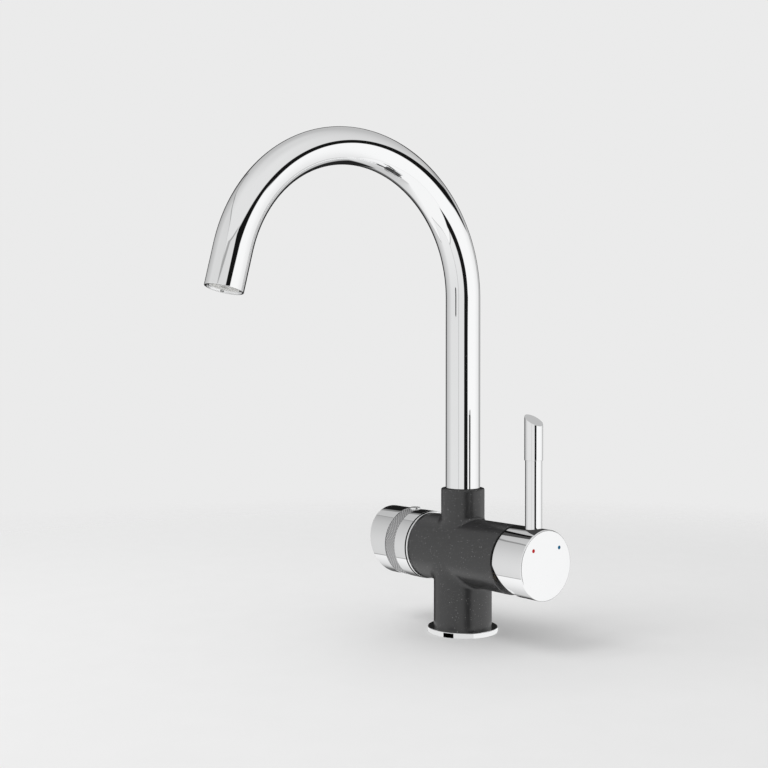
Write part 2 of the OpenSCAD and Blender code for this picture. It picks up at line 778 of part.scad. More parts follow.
module cartridge_carrier() {
    slot_w = spindle_sq + 2 * free_gap;
    slot_h = carrier_d - 2 * carrier_wall;
    color("royalblue") difference() {
        union() {
            to_right(flange_x) cylinder(r = cart_bore - turn_gap, h = flange_t);
            to_right(flange_x) cylinder(r = carrier_r, h = housing_end - flange_x + free_gap);
        }
        translate([flange_x - eps, -slot_w / 2, cross_z - slot_h / 2])
            cube([housing_end - flange_x + free_gap + 2 * eps, slot_w, slot_h]);
        translate([pivot_x, 0, cross_z]) rotate([90, 0, 0])
            cylinder(d = pin_d + 2 * seat_gap, h = 2 * cart_r, center = true);
    }
}

module spindle_pin() {
    color("silver") translate([pivot_x, 0, cross_z]) rotate([90, 0, 0])
        cylinder(d = pin_d, h = carrier_d - 1, center = true);
}

module cartridge_nut() {
    color("goldenrod") difference() {
        to_right(nut_x) sleeve(nut_d / 2, cart_neck_r + free_gap, nut_end - nut_x);
        for (a = [45, 135]) to_right(nut_end - nut_slot_depth) rotate([0, 0, a])
            translate([-nut_d, -nut_slot_w / 2, 0]) cube([2 * nut_d, nut_slot_w, nut_slot_depth + eps]);
    }
}

module lever_spindle() {
    color("silver") leaning() difference() {
        union() {
            translate([-spindle_back, -spindle_sq / 2, -spindle_sq / 2])
                cube([spindle_l + spindle_back, spindle_sq, spindle_sq]);
            translate([-ball_l, 0, 0]) rotate([0, 90, 0])
                cylinder(d = ball_neck_d, h = ball_l - spindle_back + eps);
            translate([-ball_l, 0, 0]) sphere(ball_r);
        }
        rotate([90, 0, 0]) cylinder(d = pin_d + 2 * turn_gap, h = 2 * spindle_sq, center = true);
    }
}

module lever_cap() {
    socket = spindle_sq + 2 * seat_gap;
    color("silver") difference() {
        to_right(cap_x) soft_bar(cap_r, cap_l, cap_edge);
        to_right(cap_x - eps) cylinder(r = cap_r - cap_wall, h = cap_hollow + eps);
        leaning() translate([0, -socket / 2, -socket / 2]) cube([spindle_l + free_gap, socket, socket]);
        translate([rod_x, 0, rod_z]) cylinder(r = rod_r + seat_gap, h = cap_r);
        translate([rod_x, 0, rod_z - tenon_l - free_gap]) cylinder(d = tenon_d + 2 * seat_gap, h = cap_r);
        translate([rod_x, 0, cross_z - 2 * cap_r])
            cylinder(d = lever_screw_d, h = spindle_under - cross_z + 2 * cap_r + 2 * eps);
        for (side = [-1, 1]) translate([cap_end - dot_depth, side * dot_y, cross_z + dot_rise])
            rotate([0, 90, 0]) cylinder(d = dot_d + 2 * seat_gap, h = dot_depth + eps);
        translate([cap_x, 0, cross_z]) rotate([0, -relief, 0])
            translate([-2 * cap_l, -cap_r - eps, -2 * cap_r]) cube([2 * cap_l, 2 * (cap_r + eps), 2 * cap_r]);
    }
}

module lever_set_screw() {
    color("dimgray") translate([rod_x, 0, lever_screw_top - set_screw_l]) difference() {
        cylinder(d = lever_screw_d - 2 * seat_gap, h = set_screw_l);
        translate([0, 0, -eps]) cylinder(d = lever_screw_d / 2, h = hex_depth + eps, $fn = 6);
    }
}

module lever_rod() {
    color("silver") translate([rod_x, 0, 0]) {
        translate([0, 0, rod_z]) cylinder(r = rod_r, h = grip_z - rod_z);
        translate([0, 0, rod_z - tenon_l]) cylinder(d = tenon_d, h = tenon_l + eps);
        translate([0, 0, grip_z - eps]) cylinder(d = tenon_d, h = tenon_l + eps);
    }
}

module lever_grip() {
    color("silver") difference() {
        translate([rod_x, 0, grip_z]) cylinder(d = grip_d, h = grip_l);
        translate([rod_x, 0, grip_z - eps])
            cylinder(d = tenon_d + 2 * seat_gap, h = tenon_l + free_gap + eps);
        translate([rod_x - grip_d / 2, -grip_d, grip_top]) rotate([0, grip_cut, 0])
            cube([3 * grip_d, 2 * grip_d, 3 * grip_d]);
    }
}

module temperature_dot(side) {
    translate([cap_end - dot_depth, side * dot_y, cross_z + dot_rise]) rotate([0, 90, 0])
        cylinder(d = dot_d, h = dot_depth);
}

module hot_dot() {
    color("#c02c30") temperature_dot(-1);
}

module cold_dot() {
    color("#0a5d7c") temperature_dot(1);
}

module filter_trim_ring() {
    color("silver") difference() {
        to_left(cross_left - trim_lip) cylinder(d = trim_d, h = trim_lip + trim_t);
        to_left(cross_left - trim_lip - eps) cylinder(r = cap_r + seat_gap, h = trim_lip + eps);
        to_left(cross_left - eps) cylinder(r = valve_r + 2 * seat_gap, h = trim_t + 2 * eps);
    }
}

module valve_body() {
    color("goldenrod") difference() {
        union() {
            to_left(cage_x) cylinder(r = valve_r, h = hex_x - cage_x + eps);
            to_left(hex_x) cylinder(d = hex_w / cos(30), h = hex_t, $fn = 6);
            to_left(nose_x - eps) cylinder(r = stem_r + nose_wall, h = nose_l + eps);
        }
        to_left(cage_x - eps) cylinder(r = cage_bore, h = cage_end - cage_x + eps);
        to_left(cage_x) cylinder(r = stem_r + turn_gap, h = nose_end - cage_x + eps);
        for (a = [0, 90]) to_left(plate_x) rotate([0, 0, a])
            translate([-valve_d, -window_w / 2, 0]) cube([2 * valve_d, window_w, plate_t]);
    }
}

module valve_seat_seal() {
    color("#202020") to_left(valve_floor) sleeve(cage_bore, port_d / 2 + seat_rim, seat_t);
}

// The two openings of a quarter-turn disc
module disc_openings(r, h) {
    intersection() {
        cylinder(r = r - disc_rim, h = h);
        for (side = [0, 180]) rotate([0, 0, side])
            translate([disc_land / 2, disc_land / 2, 0]) cube([r, r, h]);
    }
}

module valve_fixed_disc() {
    color("white") difference() {
        to_left(cage_x) cylinder(r = cage_bore - seat_gap, h = valve_disc_t);
        to_left(cage_x - eps) disc_openings(cage_bore, valve_disc_t + 2 * eps);
    }
}

module valve_moving_disc() {
    color("white") difference() {
        to_left(valve_mover_x) cylinder(r = valve_mover_r, h = valve_disc_t);
        to_left(valve_mover_x - eps) rotate([0, 0, 90]) disc_openings(valve_mover_r, valve_disc_t + 2 * eps);
    }
}

module valve_spindle() {
    color("goldenrod") difference() {
        union() {
            to_left(plate_x) cylinder(r = valve_mover_r, h = plate_t);
            to_left(plate_x) cylinder(r = stem_r, h = stem_end - plate_x);
            to_left(stem_end - eps) cylinder(r = spline_r, h = spline_l + eps);
        }
        for (x = stem_rings_x) to_left(x) sleeve(stem_r + eps, stem_floor_r, stem_ring_t + 2 * slide_gap);
        to_left(clip_x) sleeve(stem_r + eps, stem_r - clip_groove, clip_t + slide_gap);
    }
}

module valve_spindle_rings() {
    color("#202020") for (x = stem_rings_x) to_left(x + stem_ring_r + slide_gap)
        seal_ring(stem_floor_r + seat_gap + stem_ring_r, stem_ring_r);
}

module valve_clip() {
    color("silver") difference() {
        to_left(clip_x) sleeve(stem_r + clip_w, stem_r - clip_groove + seat_gap, clip_t);
        translate([-clip_x - clip_t - eps, -clip_slot / 2, cross_z])
            cube([clip_t + 2 * eps, clip_slot, stem_r + 2 * clip_w]);
    }
}

// Stand a shape on the knob's axis in the middle of its band, leaning to the peg's side
module at_peg(r) {
    translate([-band_mid, 0, cross_z]) rotate([peg_angle, 0, 0]) translate([0, 0, r]) children();
}

module filter_knob() {
    color("silver") difference() {
        union() {
            difference() {
                to_left(knob_x) cylinder(r = knob_r, h = knob_l + knob_rake + eps);
                to_left(knob_x - eps) cylinder(r = knob_bore, h = knob_floor - knob_x + eps);
            }
            to_left(hub_x) cylinder(d = hub_d, h = knob_floor - hub_x + eps);
        }
        to_left(hub_x - eps) cylinder(r = spline_r + seat_gap, h = spline_end - hub_x + free_gap + eps);
        to_left(band_x) sleeve(knob_r + eps, knob_r - band_depth, band_w);
        translate([-band_mid, 0, cross_z - knob_r - eps]) cylinder(d = key_way_d, h = knob_wall + 2 * eps);
        translate([-band_mid, 0, cross_z - knob_r]) cylinder(d = knob_screw_d, h = knob_r);
        at_peg(knob_bore - eps) cylinder(d = peg_shank_d + 2 * seat_gap, h = knob_wall + 2 * eps);
        translate([-knob_end, 0, cross_z]) rotate([0, -knob_slant, 0])
            translate([-2 * knob_d, -knob_d, -knob_d]) cube([2 * knob_d, 2 * knob_d, 2 * knob_d]);
    }
}

module knob_peg() {
    color("silver") {
        at_peg(knob_bore) cylinder(d = peg_shank_d, h = knob_wall);
        at_peg(knob_r - band_depth) soft_bar(peg_d / 2, peg_h + band_depth, peg_edge);
    }
}

module knob_set_screw() {
    color("dimgray") translate([-band_mid, 0, knob_screw_z]) difference() {
        cylinder(d = knob_screw_d - 2 * seat_gap, h = set_screw_l / 2);
        translate([0, 0, -eps]) cylinder(d = knob_screw_d / 2, h = hex_depth + eps, $fn = 6);
    }
}

body_casting();
base_ring();
base_gasket();
inlet_block();
inlet_seals();
spout_tube();
spout_bush();
spout_seal_rings();
upper_slip_ring();
lower_slip_washer();
spout_screw();
filter_water_tube();
filter_tube_seal();
aerator_sleeve();
aerator_insert();
aerator_washer();
cartridge_base();
cartridge_seals();
cartridge_housing();
fixed_disc();
moving_disc();
disc_driver();
cartridge_carrier();
spindle_pin();
cartridge_nut();
lever_spindle();
lever_cap();
lever_set_screw();
lever_rod();
lever_grip();
hot_dot();
cold_dot();
filter_trim_ring();
valve_body();
valve_seat_seal();
valve_fixed_disc();
valve_moving_disc();
valve_spindle();
valve_spindle_rings();
valve_clip();
filter_knob();
knob_peg();
knob_set_screw();
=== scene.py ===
"""Looks of a three-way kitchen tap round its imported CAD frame. Sizes are in mm, in the frame's own axes."""
import bmesh
import bpy
import numpy as np
from math import cos, radians, sin, tan, tau
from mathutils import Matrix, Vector


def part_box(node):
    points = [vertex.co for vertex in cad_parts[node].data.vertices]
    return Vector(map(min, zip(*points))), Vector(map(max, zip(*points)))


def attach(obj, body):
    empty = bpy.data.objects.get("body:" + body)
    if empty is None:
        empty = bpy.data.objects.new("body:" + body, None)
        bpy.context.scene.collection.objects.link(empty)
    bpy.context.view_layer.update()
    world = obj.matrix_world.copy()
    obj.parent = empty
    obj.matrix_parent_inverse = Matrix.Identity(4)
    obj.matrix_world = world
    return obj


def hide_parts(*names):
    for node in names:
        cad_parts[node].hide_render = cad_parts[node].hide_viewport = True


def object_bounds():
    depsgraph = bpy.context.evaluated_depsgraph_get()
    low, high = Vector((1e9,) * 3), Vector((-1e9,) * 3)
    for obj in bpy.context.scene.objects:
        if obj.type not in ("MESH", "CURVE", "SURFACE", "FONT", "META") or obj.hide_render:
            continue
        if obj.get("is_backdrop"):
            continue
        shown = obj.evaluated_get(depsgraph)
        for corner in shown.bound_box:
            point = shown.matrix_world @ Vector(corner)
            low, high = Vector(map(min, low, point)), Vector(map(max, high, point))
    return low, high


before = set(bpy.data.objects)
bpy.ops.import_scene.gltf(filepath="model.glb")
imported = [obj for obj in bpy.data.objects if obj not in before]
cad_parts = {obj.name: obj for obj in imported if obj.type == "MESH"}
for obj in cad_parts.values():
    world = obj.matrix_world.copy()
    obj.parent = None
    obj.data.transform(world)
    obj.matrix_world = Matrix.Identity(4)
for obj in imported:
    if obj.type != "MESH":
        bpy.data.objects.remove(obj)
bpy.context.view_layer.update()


# Base ring
# A turned brass ring, polished and chrome plated, that stands on the worktop.
# A step inside takes the foot of the column, and a groove below holds the gasket.
MM = 0.001
TURN_STEPS = 224
MERGE, SAME = 0.001, 0.01


class Shade:
    """A socket among a look's nodes. Arithmetic on it adds Math nodes, and node() adds any other."""

    def __init__(self, tree, socket=None):
        self.tree, self.socket = tree, socket

    def node(self, kind, settings=None, sockets=None, output=0):
        made = self.tree.nodes.new("ShaderNode" + kind)
        for name, value in (settings or {}).items():
            setattr(made, name, value)
        for name, value in (sockets or {}).items():
            if isinstance(value, Shade):
                self.tree.links.new(value.socket, made.inputs[name])
            else:
                made.inputs[name].default_value = value
        return Shade(self.tree, made.outputs[output])

    def other(self, output):
        """Another output of the same node."""
        return Shade(self.tree, self.socket.node.outputs[output])

    def math(self, operation, *others):
        return self.node("Math", {"operation": operation}, dict(enumerate((self, *others))))

    def __add__(self, other):
        return self.math("ADD", other)

    def __mul__(self, other):
        return self.math("MULTIPLY", other)

    def __sub__(self, other):
        return self.math("SUBTRACT", other)

    def __rsub__(self, other):
        return self.node("Math", {"operation": "SUBTRACT"}, {0: other, 1: self})

    __radd__, __rmul__ = __add__, __mul__

    def fade(self, start, end):
        """A soft step from 0 where the value is at start to 1 where it is at end."""
        limits = {"From Min": start, "From Max": end, "Value": self}
        return self.node("MapRange", {"interpolation_type": "SMOOTHSTEP"}, limits)

    def tint(self, low, high):
        """A colour between two, by this value as the second's share. Each is three numbers or a Shade."""
        low, high = (colour if isinstance(colour, Shade) else (*colour, 1) for colour in (low, high))
        return self.node("Mix", {"data_type": "RGBA"}, {0: self, 6: low, 7: high}, output=2)


def new_look(name):
    """An empty look: its material, its tree's first Shade on Object coordinates, and its main shader's sockets."""
    look = bpy.data.materials.new(name)
    look.use_nodes = True
    shader = look.node_tree.nodes["Principled BSDF"].inputs
    return look, Shade(look.node_tree).node("TexCoord", output="Object"), shader


def grain(coords, size, detail=2.0):
    """Soft noise from 0 to 1, in patches of a size in mm."""
    return coords.node("TexNoise", sockets={"Vector": coords, "Scale": 1 / (size * MM), "Detail": detail})


def drive(shader, **varying):
    """Feeds a look's varying values to its shader: the names are the sockets' with _ for a space."""
    for name, value in varying.items():
        socket = shader[name.replace("_", " ").title()]
        value.tree.links.new(value.socket, socket)


def chrome_plate(name, shaded_face_x=None):
    """Polished chrome: a mirror with a faint polishing haze and wiped patches. A face at a given x gets painted
    shade, coloured near black.
    """
    look, coords, shader = new_look(name)
    haze = grain(coords, 14, 3) * 0.6 + grain(coords, 0.8) * 0.4
    colour = haze.tint((0.90, 0.905, 0.91), (0.93, 0.932, 0.935))
    if shaded_face_x:
        # Painted shade: the face is coloured near black, as if the gap in front of it were in shade.
        bare = coords.node("SeparateXYZ", sockets={0: coords}).fade((shaded_face_x - 0.1) * MM, (shaded_face_x - 0.02) * MM)
        colour = bare.tint(colour, (0.02, 0.02, 0.02))
    shader["Metallic"].default_value = 1
    drive(shader, base_color=colour, roughness=haze * 0.03 + 0.012)
    return look


CHROME = chrome_plate("chrome_plate")


def leave_editing():
    if bpy.context.mode != "OBJECT":
        bpy.ops.object.mode_set(mode="OBJECT")


def start(name, add, **size):
    """A new primitive, alone selected and open for editing."""
    leave_editing()
    bpy.ops.object.select_all(action="DESELECT")
    add(**size)
    piece = bpy.context.object
    piece.name = piece.data.name = name
    bpy.ops.object.mode_set(mode="EDIT")
    bpy.ops.mesh.select_mode(type="VERT")
    return piece


def pick(test):
    """Selects the points whose place in mm passes the test, with the edges and faces between them."""
    bpy.ops.mesh.select_all(action="DESELECT")
    mesh = bmesh.from_edit_mesh(bpy.context.object.data)
    for point in mesh.verts:
        point.select_set(bool(test(point.co / MM)))
    mesh.select_flush(True)
    bmesh.update_edit_mesh(bpy.context.object.data)


def soften(test, width, segments=3):
    """Rounds the edges between the points that pass the test."""
    pick(test)
    bpy.ops.mesh.bevel(offset=width * MM, segments=segments, affect="EDGES")


def close_up():
    """Merges doubled points and turns the faces outwards."""
    bpy.ops.mesh.select_all(action="SELECT")
    bpy.ops.mesh.remove_doubles(threshold=MERGE * MM)
    bpy.ops.mesh.normals_make_consistent(inside=False)


AXES = {"X": (Vector((1, 0, 0)), Vector((0, 0, 1))), "Y": (Vector((0, 1, 0)), Vector((1, 0, 0))),
        "Z": (Vector((0, 0, 1)), Vector((1, 0, 0)))}
FINE_EDGE, FINE_STEPS, FULL_STEPS = 0.6, 3, 6


def turned(name, corners, at=(0, 0, 0), axis=AXES["Z"], steps=TURN_STEPS):
    """A turned piece: a point is drawn round corners and spun. A corner is a radius, a height, maybe a rounding."""
    line, side = axis
    places = [(Vector(at) + side * c[0] + line * c[1]) * MM for c in corners]
    piece = start(name, bpy.ops.mesh.primitive_plane_add, size=MM)
    bpy.ops.mesh.merge(type="CENTER")
    bpy.ops.transform.translate(value=places[0])
    if corners[0][0] > 0:
        places.append(places[0])
    for here, there in zip(places, places[1:]):
        bpy.ops.mesh.extrude_vertices_move(TRANSFORM_OT_translate={"value": there - here})
    bpy.ops.mesh.select_all(action="SELECT")
    bpy.ops.mesh.remove_doubles(threshold=MERGE * MM)
    bpy.ops.mesh.spin(steps=steps, angle=tau, center=Vector(at) * MM, axis=line)
    close_up()
    for radius, height, rounding in [c for c in corners if len(c) == 3]:
        def on_ring(place):
            up = (place - Vector(at)).dot(line)
            out = (place - Vector(at) - line * up).length
            return abs(up - height) < SAME and abs(out - radius) < SAME
        soften(on_ring, rounding, FINE_STEPS if rounding < FINE_EDGE else FULL_STEPS)
    return piece


def change(piece, kind, **settings):
    """Adds a modifier to a piece and applies it."""
    made = piece.modifiers.new(kind.lower(), kind)
    for name, value in settings.items():
        setattr(made, name, value)
    bpy.ops.object.select_all(action="DESELECT")
    bpy.context.view_layer.objects.active = piece
    piece.select_set(True)
    bpy.ops.object.modifier_apply(modifier=made.name)


def fit(piece, body, slot, look, *nodes, crease=32):
    """Closes a finished piece, gives it its look, and sets it on its body in place of its CAD nodes."""
    leave_editing()
    bpy.ops.object.select_all(action="DESELECT")
    bpy.context.view_layer.objects.active = piece
    piece.select_set(True)
    bpy.ops.object.shade_smooth_by_angle(angle=radians(crease))
    change(piece, "WEIGHTED_NORMAL", weight=80, keep_sharp=True)
    piece.data.materials.clear()
    piece.data.materials.append(look)
    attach(piece, body)
    if nodes:
        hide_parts(*nodes)
    return piece


RING_R, RING_H, RING_EDGE, RING_FOOT_EDGE = 25.5, 3.8, 0.5, 0.15
SEAT_R, SEAT_Z, SEAT_EDGE = 21.12, 2.0, 0.12
TAIL_R = 18.0
GASKET_IN, GASKET_OUT, GASKET_H = 20.35, 23.15, 1.2
base_ring = turned("chrome_base_ring", [
    (TAIL_R, 0), (GASKET_IN, 0), (GASKET_IN, GASKET_H), (GASKET_OUT, GASKET_H), (GASKET_OUT, 0),
    (RING_R, 0, RING_FOOT_EDGE), (RING_R, RING_H, RING_EDGE), (SEAT_R, RING_H, SEAT_EDGE), (SEAT_R, SEAT_Z),
    (TAIL_R, SEAT_Z)])
fit(base_ring, "tap_body", "chrome", CHROME, "base_ring")


# Base gasket, seals and sealing rings
# Moulded black rubber rings: the gasket under the base ring and the rings of the inlets, spout, outlet, cartridge
# and valve. Each sits in its groove and is only pressed there.
def moulded_rubber():
    """Matt black rubber with a fine moulded grain and a dusty bloom."""
    look, coords, shader = new_look("moulded_rubber")
    bloom = grain(coords, 3, 4)
    skin = grain(coords, 0.15)
    drive(shader, base_color=bloom.tint((0.010, 0.010, 0.011), (0.030, 0.030, 0.031)),
          roughness=bloom * 0.25 + 0.55,
          normal=coords.node("Bump", sockets={"Height": skin, "Strength": 0.3, "Distance": 0.05 * MM}))
    return look


def dress(look, *nodes):
    """Gives CAD nodes that stay in view a look of their own."""
    for name in nodes:
        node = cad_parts[name]
        node.data.materials.clear()
        node.data.materials.append(look)


dress(moulded_rubber(), "base_gasket", "inlet_seals", "spout_seal_rings", "filter_tube_seal",
      "aerator_washer", "cartridge_seals", "valve_seat_seal", "valve_spindle_rings")


# Inlet block and the other turned brass
# The block that takes the three hoses and the stud, the spout's bush, the cartridge nut, and the filter valve's
# body and spindle are machined from brass bar, with the fine rings that the tool leaves.
def machined_brass():
    """Bare brass with fine tool marks and a little tarnish."""
    look, coords, shader = new_look("machined_brass")
    marks = coords.node("TexWave", {"wave_type": "RINGS", "rings_direction": "SPHERICAL"},
                        {"Vector": coords, "Scale": 0.2 / MM, "Distortion": 1.5, "Detail": 2.0}, output=1)
    tarnish = grain(coords, 6, 4)
    shader["Metallic"].default_value = 1
    drive(shader, base_color=tarnish.tint((0.62, 0.44, 0.19), (0.80, 0.62, 0.33)),
          roughness=tarnish * 0.18 + marks * 0.1 + 0.16,
          normal=coords.node("Bump", sockets={"Height": marks, "Strength": 0.15, "Distance": 0.02 * MM}))
    return look


dress(machined_brass(), "inlet_block", "spout_bush", "cartridge_nut", "valve_body", "valve_spindle")


# Body casting
# Column, cross barrel and neck are one brass casting under a satin graphite coat with fine light specks.
# The neck and the column run into the barrel in soft fillets, and the bores are machined after casting.
COLUMN_R, FOOT_Z = 21.1, 2.0
BARREL_R, AXIS_Z, BARREL_LEFT, BARREL_RIGHT = 24.2, 58.8, -33.8, 54.1
NECK_R, NECK_TOP, NECK_EDGE = 15.8, 104.6, 1.2
NECK_FILLET, COLUMN_FILLET, RIM_EDGE = 2.6, 3.0, 0.45
SKIN_STEP, SKIN_ROUNDS, PROBE = 0.62, 5, 0.02
HOSE_SEAT_R, HOSE_SEAT_TOP = 17.02, 27
PASSAGE_R, PASSAGE_Z, SOCKET_R, SOCKET_Z, SLIP_R, SLIP_Z = 4.05, 74, 12.8, 80, 13.57, 96.3
CHAMBER_R, CHAMBER_X, NUT_R, NUT_X = 17.6, 14, 20.02, 41
VALVE_R, VALVE_X = 10.02, -10
KEY_R, KEY_STEPS, SCREW_Z, SCREW_IN, SCREW_OUT = 2.5, 48, 91.25, 11, 18
OVER = 2
# Width of the painted shade at the barrel's end, in the gap under the lever cap.
GAP_SHADE_WIDTH = 0.75


def graphite_coat():
    """Dark satin coat: fine grain, specks of two sizes, faint cloudiness, and painted shade that blackens the
    barrel's end in the cap's gap.
    """
    look, coords, shader = new_look("graphite_coat")

    def specks(cell, radius, share):
        """Round specks of a radius in mm, in a share of the cells of a size in mm."""
        near = coords.node("TexVoronoi", sockets={"Vector": coords, "Scale": 1 / (cell * MM)})
        chance = coords.node("SeparateColor", sockets={0: near.other("Color")})
        return near.fade(radius / cell, 0.45 * radius / cell) * chance.fade(1 - share, 1.02 - share)

    cloud = grain(coords, 9, 3)
    fine = grain(coords, 0.22)
    bright = specks(cell=2.0, radius=0.29, share=0.8)
    dust = specks(cell=1.2, radius=0.18, share=0.9)
    light = bright.math("MAXIMUM", dust * 0.55)
    place = coords.node("SeparateXYZ", sockets={0: coords})
    # Painted shade: the barrel's last stretch above the axis is coloured near black and made rough, to darken the gap
    # under the cap.
    gap_shade_x = BARREL_RIGHT - GAP_SHADE_WIDTH
    rim = place.fade((gap_shade_x - 0.1) * MM, (gap_shade_x + 0.1) * MM) * place.other(2).fade((AXIS_Z - 4) * MM, AXIS_Z * MM)
    ground = (cloud * 0.35 + fine * 0.65).tint((0.016, 0.016, 0.0165), (0.030, 0.030, 0.031))
    colour = rim.tint(light.tint(ground, (0.34, 0.34, 0.34)), (0.002, 0.002, 0.002))
    shader["Specular IOR Level"].default_value = 0.72
    drive(shader, base_color=colour, roughness=fine * 0.10 + cloud * 0.06 + rim * 0.6 + 0.22,
          normal=coords.node("Bump", sockets={"Height": fine, "Strength": 0.08, "Distance": 0.03 * MM}))
    return look


def combine(piece, operation, tool):
    """Joins a tool to the piece, or cuts it away, and removes the tool."""
    leave_editing()
    change(piece, "BOOLEAN", operation=operation, object=tool, solver="EXACT")
    bpy.data.objects.remove(tool)


def bar_distance(places, middle, line, low, high, radius, edge):
    """How far places lie outside a round bar along an axis, whose end edges are rounded."""
    along = places[:, line]
    across = np.delete(places - middle, line, axis=1)
    out = np.linalg.norm(across, axis=1) - radius + edge
    past = np.maximum(low - along, along - high) + edge
    return np.minimum(np.maximum(out, past), 0) + np.hypot(np.maximum(out, 0), np.maximum(past, 0)) - edge


def rounded_join(one, other, fillet):
    """The distance to two forms that run into each other in a fillet."""
    inside = np.hypot(np.maximum(fillet - one, 0), np.maximum(fillet - other, 0))
    return np.maximum(fillet, np.minimum(one, other)) - inside


def casting_distance(places):
    """The distance to the whole casting's skin, before its bores."""
    barrel = bar_distance(places, np.array((0, 0, AXIS_Z)), 0, BARREL_LEFT, BARREL_RIGHT, BARREL_R, RIM_EDGE)
    neck = bar_distance(places, np.zeros(3), 2, AXIS_Z, NECK_TOP, NECK_R, NECK_EDGE)
    column = bar_distance(places, np.zeros(3), 2, FOOT_Z, AXIS_Z, COLUMN_R, RIM_EDGE)
    return rounded_join(rounded_join(barrel, neck, NECK_FILLET), column, COLUMN_FILLET)


def solid_bar(name, radius, low, high, axis="Z", at=(0, 0, 0), steps=TURN_STEPS):
    """A plain round bar between two places along an axis."""
    return turned(name, [(0, low), (radius, low), (radius, high), (0, high)], at, AXES[axis], steps)


on_axis = (0, 0, AXIS_Z)
casting = solid_bar("graphite_body", COLUMN_R, FOOT_Z, AXIS_Z)
bpy.ops.object.mode_set(mode="OBJECT")
combine(casting, "UNION", solid_bar("barrel", BARREL_R, BARREL_LEFT, BARREL_RIGHT, "X", on_axis))
combine(casting, "UNION", solid_bar("neck", NECK_R, AXIS_Z, NECK_TOP))
change(casting, "REMESH", mode="VOXEL", voxel_size=SKIN_STEP * MM)
skin = np.empty(len(casting.data.vertices) * 3)
casting.data.vertices.foreach_get("co", skin)
skin = skin.reshape(-1, 3) / MM
for _ in range(SKIN_ROUNDS):
    away = casting_distance(skin)
    slope = np.stack([casting_distance(skin + step) - casting_distance(skin - step) for step in np.eye(3) * PROBE], 1)
    slope /= np.maximum(np.linalg.norm(slope, axis=1, keepdims=True), 1e-9)
    skin -= slope * away[:, None]
casting.data.vertices.foreach_set("co", (skin * MM).ravel())
casting.data.update()
combine(casting, "DIFFERENCE", solid_bar("hose_seat", HOSE_SEAT_R, FOOT_Z - OVER, HOSE_SEAT_TOP))
combine(casting, "DIFFERENCE", turned("spout_socket", [
    (0, PASSAGE_Z), (PASSAGE_R, PASSAGE_Z), (PASSAGE_R, SOCKET_Z), (SOCKET_R, SOCKET_Z), (SOCKET_R, SLIP_Z),
    (SLIP_R, SLIP_Z), (SLIP_R, NECK_TOP + OVER), (0, NECK_TOP + OVER)]))
combine(casting, "DIFFERENCE", turned("chamber", [
    (0, CHAMBER_X), (CHAMBER_R, CHAMBER_X), (CHAMBER_R, NUT_X), (NUT_R, NUT_X), (NUT_R, BARREL_RIGHT + OVER),
    (0, BARREL_RIGHT + OVER)], on_axis, AXES["X"]))
combine(casting, "DIFFERENCE", solid_bar("valve_bore", VALVE_R, BARREL_LEFT - OVER, VALVE_X, "X", on_axis))
combine(casting, "DIFFERENCE", solid_bar("screw_hole", KEY_R, SCREW_IN, SCREW_OUT, "Y", (0, 0, SCREW_Z), KEY_STEPS))
fit(casting, "tap_body", "graphite_coat", graphite_coat(), "body_casting", crease=40)


# Spout seat
# The slip ring and the washer that the spout turns on are moulded plastic. The inner tube that keeps the filtered
# water apart, and the outlet's insert, are white plastic too.
def moulded_plastic(name, low, high, rough):
    """Moulded plastic between two tones, with a slight flow pattern and a fine spark-eroded skin."""
    look, coords, shader = new_look(name)
    flow = grain(coords, 5, 3)
    skin = grain(coords, 0.18)
    drive(shader, base_color=(flow * 0.7 + skin * 0.3).tint(low, high), roughness=flow * 0.12 + rough,
          normal=coords.node("Bump", sockets={"Height": skin, "Strength": 0.15, "Distance": 0.03 * MM}))
    return look


WHITE = moulded_plastic("white_acetal", (0.74, 0.74, 0.72), (0.84, 0.84, 0.82), 0.32)
dress(WHITE, "lower_slip_washer", "filter_water_tube", "aerator_insert")
dress(moulded_plastic("dark_acetal", (0.016, 0.016, 0.017), (0.034, 0.034, 0.036), 0.4), "upper_slip_ring")


# Spout tube
# A brass tube bent round a former to a swan neck, polished and chrome plated. It turns in the neck, and its lower
# end is soldered to the bush.
TUBE_R, TUBE_WALL, TUBE_Z, TUBE_EDGE = 12.5, 1.2, 94.5, 0.3
TUBE_STEPS, BEND_STEPS = 144, 200
BEND_R, BEND_Z, BEND_SWEEP, TIP_L = 98.3, 242.4, radians(165.7), 27.2
TIP_LINE = Vector((0, -sin(BEND_SWEEP), cos(BEND_SWEEP)))
OUTLET = Vector((0, BEND_R * (cos(BEND_SWEEP) - 1), BEND_Z + BEND_R * sin(BEND_SWEEP))) + TIP_LINE * TIP_L
spout = start("chrome_spout_tube", bpy.ops.mesh.primitive_circle_add, vertices=TUBE_STEPS, radius=TUBE_R * MM,
              location=(0, 0, TUBE_Z * MM))
bpy.ops.mesh.extrude_region_move(TRANSFORM_OT_translate={"value": (0, 0, (BEND_Z - TUBE_Z) * MM)})
bpy.ops.mesh.spin(steps=BEND_STEPS, angle=BEND_SWEEP, center=(0, -BEND_R * MM, BEND_Z * MM), axis=(-1, 0, 0))
bpy.ops.mesh.extrude_region_move(TRANSFORM_OT_translate={"value": TIP_LINE * TIP_L * MM})
close_up()
bpy.ops.object.mode_set(mode="OBJECT")
bpy.ops.object.transform_apply(location=True)
change(spout, "SOLIDIFY", thickness=TUBE_WALL * MM, offset=-1)
bpy.ops.object.mode_set(mode="EDIT")
soften(lambda place: abs((place - OUTLET).dot(TIP_LINE)) < SAME, TUBE_EDGE)
fit(spout, "spout", "chrome", CHROME, "spout_tube")


